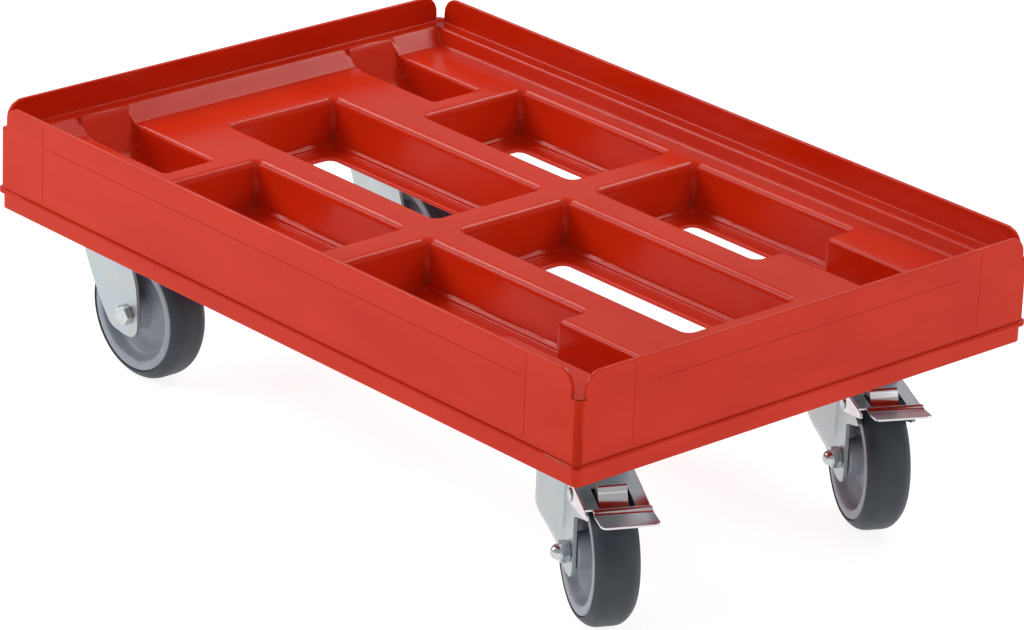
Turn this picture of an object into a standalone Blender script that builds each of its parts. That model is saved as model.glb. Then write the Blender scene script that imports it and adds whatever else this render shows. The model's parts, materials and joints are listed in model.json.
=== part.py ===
"""Platform trolley: a moulded plastic deck on two fixed and two swivelling, braked castors.

Metres, +Z up, standing on the floor at z = 0 with the middle of the whole trolley on the origin.
+X is the end with the swivel castors, +Y the left side when facing that way. The build works
from the middle of the deck; the brake pedals reach past it, so the whole trolley is then moved.
"""
import math

import bmesh
import bpy
from mathutils import Vector

# ---- overall sizes ----
OVERALL_CENTRE_X = 0.0104
DECK_LENGTH = 0.600
DECK_WIDTH = 0.405
TOP_Z = 0.200
SKIRT_BOTTOM_Z = 0.123
CORNER_RADIUS = 0.005
BEAD_PROUD = 0.0014
BEAD_LOW_Z = 0.1345
BEAD_HIGH_Z = 0.1380
LIP_INSET = 0.0008

# ---- upstanding rim, ledge and deck surface ----
RIM_THICKNESS = 0.003
LEDGE_Z = 0.1805
NOTCH_Z = 0.1820
RIM_END_RADIUS = 0.012
RIM_END_FROM_CORNER_X = 0.008
RIM_END_FROM_CORNER_Y = 0.006
DECK_Z = 0.1695
STEP_TOP_X = 0.2890
STEP_FOOT_X = 0.2770
STEP_TOP_Y = 0.1885
STEP_FOOT_Y = 0.1845
SKIN = 0.003

# ---- pockets in the deck ----
OUTER_ROW_Y = (0.0775, 0.1690)
MIDDLE_ROW_HALF_Y = 0.0475
OUTER_POCKETS_X = ((-0.1700, -0.0155), (0.0125, 0.1680))
MIDDLE_POCKETS_X = ((-0.2365, -0.0155), (0.0125, 0.2340))
POCKET_FLOOR_Z = 0.1345
POCKET_WALL = 0.0025
POCKET_CORNER = 0.004
SLOT_MARGIN_X = 0.0200
SLOT_MARGIN_Y = 0.0180
SLOT_CORNER = 0.006
SLOT_REAR_KEEP_X = 0.1500
WELL_Y = (0.1020, 0.1430)
WELL_X = (-0.2890, -0.1900)
WELL_FLOOR_Z = 0.1405
PAD_TOP_Z = 0.1400
# Side view of the curved ramp at a well's outer end, from the ledge down to the floor.
RAMP = (
    (0.2855, 0.1803), (0.2795, 0.1700), (0.2756, 0.1645), (0.2722, 0.1592), (0.2682, 0.1542),
    (0.2627, 0.1495), (0.2558, 0.1448), (0.2470, 0.1405),
)
CHANNEL_START_X = 0.1600

# ---- castors ----
WHEEL_RADIUS = 0.050
TYRE_WIDTH = 0.0304
TYRE_INNER_RADIUS = 0.0428
CENTRE_RADIUS = 0.0425
CENTRE_WIDTH = 0.0298
CENTRE_RIM_INNER = 0.0370
HUB_RADIUS = 0.0120
HUB_WIDTH = 0.0328
WEB_HALF = 0.0035
BORE_RADIUS = 0.0063
SLEEVE_OUTER = 0.0060
SLEEVE_INNER = 0.0043
SLEEVE_LENGTH = 0.0344
BOLT_RADIUS = 0.0040
BOLT_HOLE_RADIUS = 0.0043
HEX_FLATS = 0.0130
BOLT_HEAD_HEIGHT = 0.0053
NUT_HEIGHT = 0.0065
NUT_DOME_RADIUS = 0.0055
NUT_END = 0.0005
FORK_INNER = 0.0175
SHEET = 0.0025
FIT = 0.0003
CASTOR_HEIGHT = 0.1280
CASTOR_Y = 0.1230
FIXED_AXLE_X = -0.2305
FIXED_PLATE_SHIFT = -0.0090
SWIVEL_AXIS_X = 0.2235
SWIVEL_YAW = {"left": math.radians(-27.6), "right": math.radians(-26.5)}
TRAIL = 0.039
PLATE_LENGTH = 0.100
PLATE_WIDTH = 0.084
PLATE_CORNER = 0.008
SCREW_X = 0.040
SCREW_Y = 0.031
SCREW_RADIUS = 0.0030
SCREW_HOLE_RADIUS = 0.0033
SCREW_TOP_Z = 0.1370
SCREW_HEAD_FLATS = 0.0100
SCREW_HEAD_HEIGHT = 0.0040
SCREW_FLANGE_RADIUS = 0.0066
SCREW_FLANGE = 0.0012

# ---- swivel head, brake ----
CROWN_RADIUS = 0.031
CROWN_TOP_Z = 0.1130
FLANK_END_X = 0.0240
KINGPIN_RADIUS = 0.0060
KINGPIN_HOLE_RADIUS = 0.0063
KINGPIN_HEAD_RADIUS = 0.0100
KINGPIN_HEAD = 0.0020
RACE_RADIUS = 0.0265
PIVOT_X = 0.0430
PIVOT_Z = 0.0915
PIVOT_RADIUS = 0.0030
RIVET_HEAD_RADIUS = 0.0048
RIVET_HEAD = 0.0013
PEDAL_TILT = math.radians(12.0)
PEDAL_RAISED = {"left": math.radians(9.5), "right": 0.0}
PEDAL_SHEET = 0.0016
PEDAL_HALF_WIDTH = 0.0219
PEDAL_REAR_X = 0.0370
PEDAL_BEND_X = 0.0755
PEDAL_BEND_Z = 0.0951
# Side view of the ridge at the bend and of the level lip ahead of it.
PEDAL_LIP = (
    (0.0773, 0.0960), (0.0790, 0.0964), (0.0808, 0.0957), (0.0826, 0.0945), (0.0860, 0.0941),
    (0.1010, 0.0937),
)
LIP_START_X = 0.0765
LIP_INSET_Y = -0.0175
LIP_CORNER = 0.004
CHEEK_EDGE = (
    (0.0371, 0.0900), (0.0394, 0.0868), (0.0430, 0.0856), (0.0480, 0.0860), (0.0700, 0.0880),
    (0.0806, 0.0896), (0.0800, 0.0930), (0.0752, 0.0942),
)
WINDOW_X = (0.0530, 0.0752)
WINDOW_HALF_Y = 0.0120
SHOE_HALF_WIDTH = 0.0098
SHOE_TOP = (
    (0.0570, 0.0985), (0.0572, 0.1015), (0.0582, 0.1035), (0.0600, 0.1045), (0.0618, 0.1038),
    (0.0629, 0.1012), (0.0637, 0.0982), (0.0658, 0.0950), (0.0700, 0.0920), (0.0733, 0.0902),
)
SHOE_UNDER = (
    (0.0718, 0.0890), (0.0683, 0.0914), (0.0645, 0.0940), (0.0622, 0.0978), (0.0613, 0.1008),
    (0.0606, 0.1025), (0.0598, 0.1030), (0.0590, 0.1024), (0.0587, 0.1010), (0.0586, 0.0985),
)

# ---- fork legs: edges seen from the side as (height, reach), and loft levels ----
FIXED_REAR = (
    (0.0335, -0.004), (0.0360, -0.0165), (0.0420, -0.0235), (0.0600, -0.0360), (0.0900, -0.0510),
    (0.1262, -0.0550),
)
FIXED_FRONT = (
    (0.0335, 0.004), (0.0360, 0.0085), (0.0420, 0.0115), (0.0600, 0.0110), (0.0900, 0.0090),
    (0.1262, 0.0090),
)
FIXED_LEVELS = (0.1262, 0.1120, 0.0980, 0.0840, 0.0700, 0.0600, 0.0500, 0.0420, 0.0360, 0.0335)
FIXED_CROWN_RADIUS = 0.0320
FIXED_BULGE_Z = (0.066, 0.108)
SWIVEL_REAR = (
    (0.0330, 0.0340), (0.0360, 0.0260), (0.0420, 0.0140), (0.0500, -0.0030), (0.0600, -0.0150),
    (0.0690, -0.0215), (0.0850, -0.0235), (0.1112, -0.0235),
)
SWIVEL_FRONT = (
    (0.0330, 0.0410), (0.0360, 0.0460), (0.0420, 0.0480), (0.0780, 0.0470), (0.0850, 0.0680),
    (0.0870, 0.0715), (0.0878, 0.0712), (0.0925, 0.0590), (0.0955, 0.0500), (0.0972, 0.0430),
    (0.0980, 0.0360), (0.1015, 0.0318), (0.1060, 0.0312), (0.1085, 0.0290), (0.1112, 0.0240),
)
SWIVEL_LEVELS = (
    0.1112, 0.1085, 0.1060, 0.1015, 0.0980, 0.0972, 0.0955, 0.0925, 0.0878, 0.0870, 0.0850, 0.0780,
    0.0690, 0.0600, 0.0500, 0.0420, 0.0360, 0.0330,
)
SWIVEL_BULGE_Z = (0.040, 0.068)

# ---- facets ----
WHEEL_STEPS = 32
SMALL_STEPS = 12
SCREW_STEPS = 8
RACE_STEPS = 24
ARC_STEPS = 3
LEG_COLUMNS = 5

OBJECT_NAME = "platform_trolley"
SIDES = (("left", 1.0), ("right", -1.0))

COLOURS = {
    "deck_plastic": ((0.56, 0.035, 0.012, 1.0), 0.0, 0.32),
    "zinc_plate": ((0.60, 0.62, 0.63, 1.0), 1.0, 0.38),
    "bright_steel": ((0.70, 0.70, 0.71, 1.0), 1.0, 0.18),
    "grey_plastic": ((0.30, 0.31, 0.34, 1.0), 0.0, 0.42),
    "dark_rubber": ((0.045, 0.050, 0.058, 1.0), 0.0, 0.60),
}


def clear_scene():
    for item in list(bpy.data.objects):
        bpy.data.objects.remove(item, do_unlink=True)


def new_collection(name):
    made = bpy.data.collections.new(name)
    bpy.context.scene.collection.children.link(made)
    return made


def material_for(name, recipe):
    colour, metallic, roughness = COLOURS[recipe]
    made = bpy.data.materials.new(name)
    made.use_nodes = True
    shader = made.node_tree.nodes["Principled BSDF"]
    shader.inputs["Base Color"].default_value = colour
    shader.inputs["Metallic"].default_value = metallic
    shader.inputs["Roughness"].default_value = roughness
    made.diffuse_color = colour
    return made


def object_from(name, mesh, collection):
    made = bpy.data.objects.new(name, mesh)
    collection.objects.link(made)
    return made


def as_cutter(item):
    item.hide_render = True
    item.display_type = "WIRE"
    return item


def finish_part(item, recipe, parent=None, smooth=False):
    """Give a piece its material, its shading and its parent."""
    item.data.materials.clear()
    item.data.materials.append(material_for(item.name + "_surface", recipe))
    if smooth:
        item.data.shade_smooth()
    if parent is not None:
        item.parent = parent
    return item


def block(name, low, high, collection, taper=(0.0, 0.0)):
    """A box between two corners; taper pulls the lower edges in."""
    mesh = bpy.data.meshes.new(name)
    shape = bmesh.new()
    bmesh.ops.create_cube(shape, size=1.0)
    for vertex in shape.verts:
        foot = vertex.co.z < 0.0
        half = vertex.co.copy()
        for axis in range(3):
            middle = (low[axis] + high[axis]) / 2.0
            vertex.co[axis] = middle + half[axis] * (high[axis] - low[axis])
        if foot:
            vertex.co.x -= math.copysign(taper[0], half.x)
            vertex.co.y -= math.copysign(taper[1], half.y)
    shape.to_mesh(mesh)
    shape.free()
    return object_from(name, mesh, collection)


def arc(centre, radius, start, end, steps):
    """Points round part of a circle, both ends included."""
    points = []
    for step in range(steps + 1):
        angle = start + (end - start) * step / steps
        points.append((centre[0] + radius * math.cos(angle), centre[1] + radius * math.sin(angle)))
    return points


def rounded_rectangle(low, high, radius, steps=ARC_STEPS):
    points = []
    corners = (
        (high[0] - radius, high[1] - radius, 0.0),
        (low[0] + radius, high[1] - radius, math.pi / 2.0),
        (low[0] + radius, low[1] + radius, math.pi),
        (high[0] - radius, low[1] + radius, 1.5 * math.pi),
    )
    for x, y, start in corners:
        points += arc((x, y), radius, start, start + math.pi / 2.0, steps)
    return points


def flat_plate(name, outlines, low, high, collection):
    """Extrude a flat outline (with any holes) from low to high along Z."""
    curve = bpy.data.curves.new(name + "_outline", "CURVE")
    curve.dimensions = "2D"
    curve.fill_mode = "BOTH"
    curve.extrude = (high - low) / 2.0
    for outline in outlines:
        spline = curve.splines.new("POLY")
        spline.points.add(len(outline) - 1)
        for point, (x, y) in zip(spline.points, outline):
            point.co = (x, y, 0.0, 1.0)
        spline.use_cyclic_u = True
    holder = object_from(name + "_curve", curve, collection)
    bpy.context.view_layer.update()
    graph = bpy.context.evaluated_depsgraph_get()
    mesh = bpy.data.meshes.new_from_object(holder.evaluated_get(graph))
    bpy.data.objects.remove(holder, do_unlink=True)
    shape = bmesh.new()
    shape.from_mesh(mesh)
    bmesh.ops.remove_doubles(shape, verts=shape.verts, dist=1e-6)
    bmesh.ops.translate(shape, verts=shape.verts, vec=Vector((0.0, 0.0, (low + high) / 2.0)))
    bmesh.ops.recalc_face_normals(shape, faces=shape.faces)
    shape.to_mesh(mesh)
    shape.free()
    mesh.name = name
    return object_from(name, mesh, collection)


def side_plate(name, outlines, low, high, collection):
    """Extrude an outline drawn in X and Z from low to high along Y."""
    made = flat_plate(name, outlines, low, high, collection)
    for vertex in made.data.vertices:
        x, z, y = vertex.co
        vertex.co = (x, y, z)
    made.data.flip_normals()
    return made


def front_plate(name, outlines, low, high, collection):
    """Extrude an outline drawn in Y and Z from low to high along X."""
    made = flat_plate(name, outlines, low, high, collection)
    for vertex in made.data.vertices:
        y, z, x = vertex.co
        vertex.co = (x, y, z)
    return made


def turned(name, profile, collection, steps, along_y=False):
    """Spin a closed profile of (radius, height) points round the axis."""
    mesh = bpy.data.meshes.new(name)
    shape = bmesh.new()
    points = [shape.verts.new((radius, 0.0, height)) for radius, height in profile]
    for first, second in zip(points, points[1:]):
        shape.edges.new((first, second))
    if profile[0][0] > 0.0:
        shape.edges.new((points[-1], points[0]))
    shape.to_mesh(mesh)
    shape.free()
    made = object_from(name, mesh, collection)
    spin = made.modifiers.new("spin", "SCREW")
    spin.steps = steps
    spin.render_steps = steps
    spin.use_merge_vertices = True
    spin.merge_threshold = 1e-5
    if along_y:
        made.rotation_euler.x = -math.pi / 2.0
    return made


def prism(name, sides, radius, low, high, collection):
    """A hexagon or other regular bar."""
    outline = []
    for step in range(sides):
        angle = 2.0 * math.pi * step / sides
        outline.append((radius * math.cos(angle), radius * math.sin(angle)))
    return flat_plate(name, [outline], low, high, collection)


def boolean(item, tool, operation="DIFFERENCE"):
    change = item.modifiers.new(operation.lower(), "BOOLEAN")
    change.operation = operation
    change.solver = "EXACT"
    change.object = tool


def mirrored(item, in_x, in_y):
    """Copy a cutter across the deck's middle planes."""
    change = item.modifiers.new("mirror", "MIRROR")
    change.use_axis[0] = in_x
    change.use_axis[1] = in_y
    change.use_mirror_merge = False


def pocket_boxes():
    """Low and high corners of the six open pockets, name first."""
    boxes = []
    for number, (start, end) in enumerate(OUTER_POCKETS_X):
        for side, sign in SIDES:
            edges = sorted((sign * OUTER_ROW_Y[0], sign * OUTER_ROW_Y[1]))
            boxes.append((f"pocket_{side}_{number + 1}", (start, edges[0]), (end, edges[1])))
    for number, (start, end) in enumerate(MIDDLE_POCKETS_X):
        low = (start, -MIDDLE_ROW_HALF_Y)
        boxes.append((f"pocket_middle_{number + 1}", low, (end, MIDDLE_ROW_HALF_Y)))
    return boxes


def end_outline(start_x, end, drop, grow, top_z):
    """Side view of a well or channel that ends in the ramp; end is its X direction."""
    points = [(end * (start_x - grow), top_z), (end * (start_x - grow), WELL_FLOOR_Z - drop)]
    points += [(end * (x + grow), z - drop) for x, z in reversed(RAMP)]
    return points + [(end * (RAMP[0][0] + grow), top_z)]


def end_spaces():
    """The castor wells and the channels: name, direction of the ramp, start."""
    return (("well", -1.0, -WELL_X[1]), ("channel", 1.0, CHANNEL_START_X))


def build_deck(parts, cutters):
    half_x = DECK_LENGTH / 2.0
    half_y = DECK_WIDTH / 2.0
    outline = rounded_rectangle((-half_x, -half_y), (half_x, half_y), CORNER_RADIUS)
    deck = flat_plate("deck", [outline], BEAD_LOW_Z, TOP_Z, parts)

    lip_x = half_x - LIP_INSET
    lip_y = half_y - LIP_INSET
    lip_outline = rounded_rectangle((-lip_x, -lip_y), (lip_x, lip_y), CORNER_RADIUS)
    lip = flat_plate("lip_form", [lip_outline], SKIRT_BOTTOM_Z, BEAD_LOW_Z + FIT, cutters)
    boolean(deck, as_cutter(lip), "UNION")

    bead_x = half_x + BEAD_PROUD
    bead_y = half_y + BEAD_PROUD
    bead_outline = rounded_rectangle((-bead_x, -bead_y), (bead_x, bead_y), CORNER_RADIUS)
    bead = flat_plate("bead_form", [bead_outline], BEAD_LOW_Z, BEAD_HIGH_Z, cutters)
    boolean(deck, as_cutter(bead), "UNION")

    # Space inside the rim, and the sloping step down to the deck surface.
    inner_x = half_x - RIM_THICKNESS
    inner_y = half_y - RIM_THICKNESS
    inside = rounded_rectangle((-inner_x, -inner_y), (inner_x, inner_y), CORNER_RADIUS - SKIN / 2.0)
    bay = flat_plate("bay_cutter", [inside], LEDGE_Z, TOP_Z + SKIN, cutters)
    boolean(deck, as_cutter(bay))
    step = block(
        "step_cutter", (-STEP_TOP_X, -STEP_TOP_Y, DECK_Z), (STEP_TOP_X, STEP_TOP_Y, LEDGE_Z + FIT),
        cutters, (STEP_TOP_X - STEP_FOOT_X, STEP_TOP_Y - STEP_FOOT_Y),
    )
    boolean(deck, as_cutter(step))

    # Rounded ends of the four rim walls, leaving a notch at each corner.
    above = TOP_Z + SKIN
    end_x = half_x - RIM_END_FROM_CORNER_X
    end_y = half_y - RIM_END_FROM_CORNER_Y
    for name, end, half, maker, low, high in (
        ("long", end_x, half_x, side_plate, half_y - 2.0 * RIM_THICKNESS, half_y + SKIN),
        ("short", end_y, half_y, front_plate, half_x - 2.0 * RIM_THICKNESS, half_x + SKIN),
    ):
        centre = (end - RIM_END_RADIUS, TOP_Z - RIM_END_RADIUS)
        profile = [(end, NOTCH_Z), (half + SKIN, NOTCH_Z), (half + SKIN, above), (centre[0], above)]
        profile += arc(centre, RIM_END_RADIUS, math.pi / 2.0, 0.0, ARC_STEPS + 1)
        notch = maker(f"{name}_notch_cutter", [profile], low, high, cutters)
        mirrored(notch, True, True)
        boolean(deck, as_cutter(notch))

    # Hollow underside, keeping the walls and floors of the pockets.
    hollow = block(
        "hollow_cutter", (-half_x + SKIN, -half_y + SKIN, SKIRT_BOTTOM_Z - SKIN),
        (half_x - SKIN, half_y - SKIN, DECK_Z - SKIN), cutters,
    )
    floor_z = POCKET_FLOOR_Z - SKIN
    for name, low, high in pocket_boxes():
        kept = block(
            name + "_shell", (low[0] - POCKET_WALL, low[1] - POCKET_WALL, floor_z),
            (high[0] + POCKET_WALL, high[1] + POCKET_WALL, TOP_Z), cutters,
        )
        boolean(hollow, as_cutter(kept))
    for side, sign in SIDES:
        wall = sorted((sign * (WELL_Y[0] - POCKET_WALL), sign * (WELL_Y[1] + POCKET_WALL)))
        for name, end, start_x in end_spaces():
            outline = end_outline(start_x, end, SKIN, POCKET_WALL, TOP_Z)
            shell = side_plate(f"{name}_{side}_shell", [outline], wall[0], wall[1], cutters)
            boolean(hollow, as_cutter(shell))
        for number, centre_x in enumerate((FIXED_AXLE_X + FIXED_PLATE_SHIFT, SWIVEL_AXIS_X)):
            pad = block(
                f"pad_{side}_{number + 1}",
                (centre_x - PLATE_LENGTH / 2.0, sign * CASTOR_Y - PLATE_WIDTH / 2.0, CASTOR_HEIGHT + FIT),
                (centre_x + PLATE_LENGTH / 2.0, sign * CASTOR_Y + PLATE_WIDTH / 2.0, PAD_TOP_Z),
                cutters,
            )
            boolean(hollow, as_cutter(pad))
    boolean(deck, as_cutter(hollow))

    # Pockets with a slot through each floor.
    for name, low, high in pocket_boxes():
        outline = rounded_rectangle(low, high, POCKET_CORNER)
        pocket = flat_plate(name + "_cutter", [outline], POCKET_FLOOR_Z, TOP_Z, cutters)
        boolean(deck, as_cutter(pocket))
        end = high[0] - SLOT_MARGIN_X
        if not name.startswith("pocket_middle"):
            end = min(end, SLOT_REAR_KEEP_X - SLOT_MARGIN_X / 2.0)
        slot_low = (low[0] + SLOT_MARGIN_X, low[1] + SLOT_MARGIN_Y)
        slot_high = (end, high[1] - SLOT_MARGIN_Y)
        slot_outline = rounded_rectangle(slot_low, slot_high, SLOT_CORNER)
        slot = flat_plate(name + "_slot", [slot_outline], SKIRT_BOTTOM_Z, DECK_Z, cutters)
        boolean(deck, as_cutter(slot))

    # Castor wells at the fixed end, channels at the swivel end, each ending in a ramp block.
    for side, sign in SIDES:
        edges = sorted((sign * WELL_Y[0], sign * WELL_Y[1]))
        for name, end, start_x in end_spaces():
            reach = sorted((end * RAMP[3][0], end * (STEP_TOP_X + FIT)))
            ramp = block(
                f"{name}_{side}_ramp", (reach[0], edges[0], RAMP[3][1]), (reach[1], edges[1], RAMP[0][1]), cutters,
            )
            boolean(deck, as_cutter(ramp), "UNION")
            outline = end_outline(start_x, end, 0.0, 0.0, TOP_Z)
            space = side_plate(f"{name}_{side}_cutter", [outline], edges[0], edges[1], cutters)
            boolean(deck, as_cutter(space))
        for centre_x in (FIXED_AXLE_X + FIXED_PLATE_SHIFT, SWIVEL_AXIS_X):
            for x in (-SCREW_X, SCREW_X):
                for y in (-SCREW_Y, SCREW_Y):
                    hole = screw_hole(f"screw_hole_{side}", cutters)
                    hole.location = (centre_x + x, sign * CASTOR_Y + y, 0.0)
                    boolean(deck, as_cutter(hole))
    return finish_part(deck, "deck_plastic")


def screw_hole(name, cutters):
    steps = [2.0 * math.pi * step / SCREW_STEPS for step in range(SCREW_STEPS)]
    outline = [(SCREW_HOLE_RADIUS * math.cos(a), SCREW_HOLE_RADIUS * math.sin(a)) for a in steps]
    return flat_plate(name, [outline], SKIRT_BOTTOM_Z - SKIN, SCREW_TOP_Z + 2.0 * FIT, cutters)


def circle(centre, radius, steps):
    points = arc(centre, radius, 0.0, 2.0 * math.pi, steps)
    return points[:-1]


def castor_frame(name, x, y, yaw):
    made = bpy.data.objects.new(name, None)
    made.empty_display_size = 0.02
    made.location = (x, y, 0.0)
    made.rotation_euler.z = yaw
    return made


def mounting_screws(prefix, centre_x, parts, frame):
    """Four flanged hexagon screws driven up through a castor plate."""
    seat = CASTOR_HEIGHT - SHEET - FIT
    number = 0
    for x in (-SCREW_X, SCREW_X):
        for y in (-SCREW_Y, SCREW_Y):
            number += 1
            flats = SCREW_HEAD_FLATS / 2.0 / math.cos(math.pi / 6.0)
            profile = [
                (0.0, SCREW_TOP_Z), (SCREW_RADIUS, SCREW_TOP_Z), (SCREW_RADIUS, seat),
                (SCREW_FLANGE_RADIUS, seat), (SCREW_FLANGE_RADIUS, seat - SCREW_FLANGE),
                (0.0, seat - SCREW_FLANGE),
            ]
            shank = turned(f"{prefix}_screw_{number}", profile, parts, SCREW_STEPS)
            head = prism(
                f"{prefix}_screw_head_{number}", 6, flats, seat - SCREW_HEAD_HEIGHT,
                seat - SCREW_FLANGE / 2.0, bpy.data.collections["trolley_cutters"],
            )
            shank.location = (centre_x + x, y, 0.0)
            head.location = shank.location
            shank.parent = frame
            head.parent = frame
            boolean(shank, as_cutter(head), "UNION")
            finish_part(shank, "zinc_plate")


def wheel(prefix, x, parts, frame, cutters):
    """Wheel centre, tyre, sleeve, bolt and nut on one axle."""
    half = CENTRE_WIDTH / 2.0
    hub = HUB_WIDTH / 2.0
    centre_profile = [
        (BORE_RADIUS, hub), (HUB_RADIUS, hub), (HUB_RADIUS + 0.001, WEB_HALF + 0.002),
        (0.0240, WEB_HALF), (0.0345, WEB_HALF + 0.0020), (CENTRE_RIM_INNER, half),
        (CENTRE_RADIUS, half), (CENTRE_RADIUS, -half), (CENTRE_RIM_INNER, -half),
        (0.0345, -WEB_HALF - 0.0020), (0.0240, -WEB_HALF), (HUB_RADIUS + 0.001, -WEB_HALF - 0.002),
        (HUB_RADIUS, -hub), (BORE_RADIUS, -hub),
    ]
    wall = TYRE_WIDTH / 2.0
    shoulder = [
        (TYRE_INNER_RADIUS, wall - 0.0005), (0.0434, wall), (0.0446, wall - 0.0006), (0.0466, wall - 0.0024),
        (0.0483, wall - 0.0044), (0.0494, wall - 0.0066), (WHEEL_RADIUS, wall - 0.0097),
    ]
    tyre_profile = shoulder + [(radius, -height) for radius, height in reversed(shoulder)]
    length = SLEEVE_LENGTH / 2.0
    sleeve_profile = [
        (SLEEVE_INNER, length), (SLEEVE_OUTER, length), (SLEEVE_OUTER, -length), (SLEEVE_INNER, -length),
    ]
    place = Vector((x, 0.0, WHEEL_RADIUS))
    for name, profile, steps, recipe in (
        ("wheel_centre", centre_profile, WHEEL_STEPS, "grey_plastic"),
        ("tyre", tyre_profile, WHEEL_STEPS, "dark_rubber"),
        ("axle_sleeve", sleeve_profile, SMALL_STEPS, "bright_steel"),
    ):
        piece = turned(f"{prefix}_{name}", profile, parts, steps, along_y=True)
        piece.location = place
        finish_part(piece, recipe, frame, smooth=True)

    # Hexagon bolt: head on +Y, thread through the nut on -Y.
    outer = FORK_INNER + SHEET + FIT
    across = HEX_FLATS / 2.0 / math.cos(math.pi / 6.0)
    bolt = prism(f"{prefix}_axle_bolt", 6, across, outer, outer + BOLT_HEAD_HEIGHT, parts)
    shank = prism(
        f"{prefix}_axle_shank", SMALL_STEPS, BOLT_RADIUS, -outer - NUT_HEIGHT + NUT_END + FIT,
        outer + BOLT_HEAD_HEIGHT / 2.0, cutters,
    )
    nut = prism(f"{prefix}_axle_nut", 6, across, -outer - NUT_HEIGHT, -outer, parts)
    dome_profile = [
        (0.0, NUT_DOME_RADIUS), (NUT_DOME_RADIUS * 0.6, NUT_DOME_RADIUS * 0.8),
        (NUT_DOME_RADIUS * 0.92, NUT_DOME_RADIUS * 0.4), (NUT_DOME_RADIUS, 0.0),
        (NUT_DOME_RADIUS, -FIT), (0.0, -FIT),
    ]
    dome = turned(f"{prefix}_nut_dome", dome_profile, cutters, SMALL_STEPS)
    bore = prism(
        f"{prefix}_nut_bore", SMALL_STEPS, BOLT_HOLE_RADIUS, -outer - NUT_HEIGHT + NUT_END,
        0.0, cutters,
    )
    for piece in (bolt, shank, nut, bore):
        piece.rotation_euler.x = -math.pi / 2.0
        piece.location = place
        piece.parent = frame
    dome.rotation_euler.x = math.pi / 2.0
    dome.location = place - Vector((0.0, outer + NUT_HEIGHT, 0.0))
    dome.parent = frame
    boolean(bolt, as_cutter(shank), "UNION")
    boolean(nut, as_cutter(dome), "UNION")
    boolean(nut, as_cutter(bore))
    finish_part(bolt, "bright_steel")
    finish_part(nut, "bright_steel")


def leg_columns(start, end, knee):
    """Stations across a leg; with a knee, all but the last stop at it."""
    if knee is None:
        return [start + (end - start) * step / LEG_COLUMNS for step in range(LEG_COLUMNS + 1)]
    turn_x = max(min(end, knee), (start + end) / 2.0)
    inner = LEG_COLUMNS - 1
    return [start + (turn_x - start) * step / inner for step in range(LEG_COLUMNS)] + [end]


def leg_sheet(name, outline_at, outer_at, levels, collection, knee=None):
    """One pressed fork leg, lofted level by level with an even thickness."""
    mesh = bpy.data.meshes.new(name)
    shape = bmesh.new()
    rows = []
    for z in levels:
        start, end = outline_at(z)
        row = []
        for x in leg_columns(start, end, knee):
            outer = outer_at(x, z)
            row.append((shape.verts.new((x, outer, z)), shape.verts.new((x, outer - SHEET, z))))
        rows.append(row)
    last = LEG_COLUMNS
    for upper, lower in zip(rows, rows[1:]):
        for column in range(last):
            a, b = upper[column], upper[column + 1]
            c, d = lower[column + 1], lower[column]
            shape.faces.new((a[0], b[0], c[0], d[0]))
            shape.faces.new((a[1], d[1], c[1], b[1]))
        shape.faces.new((upper[0][0], lower[0][0], lower[0][1], upper[0][1]))
        shape.faces.new((upper[last][0], upper[last][1], lower[last][1], lower[last][0]))
    for row, flip in ((rows[0], False), (rows[-1], True)):
        for first, second in zip(row, row[1:]):
            loop = [first[0], first[1], second[1], second[0]]
            if flip:
                loop.reverse()
            shape.faces.new(loop)
    bmesh.ops.recalc_face_normals(shape, faces=shape.faces)
    shape.to_mesh(mesh)
    shape.free()
    return object_from(name, mesh, collection)


def between(value, table):
    """Straight-line reading of a table of (level, value) pairs."""
    for (low, first), (high, second) in zip(table, table[1:]):
        if low <= value <= high:
            return first + (second - first) * (value - low) / (high - low)
    return table[0][1] if value < table[0][0] else table[-1][1]


def smooth_step(value, low, high):
    share = min(max((value - low) / (high - low), 0.0), 1.0)
    return share * share * (3.0 - 2.0 * share)


def bulged_outer(centre_x, radius, low, high):
    """Outer face of a leg: flat below, swelling to a round crown above."""
    flat = FORK_INNER + SHEET

    def outer(x, z):
        reach = max(radius * radius - (x - centre_x) ** 2, 0.0)
        swell = max(math.sqrt(reach) - flat, 0.0)
        return flat + smooth_step(z, low, high) * swell
    return outer


def mirror_leg(leg):
    change = leg.modifiers.new("mirror", "MIRROR")
    change.use_axis[0] = False
    change.use_axis[1] = True
    change.use_mirror_merge = False


def axle_hole(name, x, z, radius, cutters, frame):
    tool = prism(name, SMALL_STEPS, radius, -0.05, 0.05, cutters)
    tool.rotation_euler.x = -math.pi / 2.0
    tool.location = (x, 0.0, z)
    tool.parent = frame
    return as_cutter(tool)


def plate_outline(centre_x):
    low = (centre_x - PLATE_LENGTH / 2.0, -PLATE_WIDTH / 2.0)
    high = (centre_x + PLATE_LENGTH / 2.0, PLATE_WIDTH / 2.0)
    outlines = [rounded_rectangle(low, high, PLATE_CORNER)]
    for x in (-SCREW_X, SCREW_X):
        for y in (-SCREW_Y, SCREW_Y):
            outlines.append(circle((centre_x + x, y), SCREW_HOLE_RADIUS, SCREW_STEPS))
    return outlines


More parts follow.
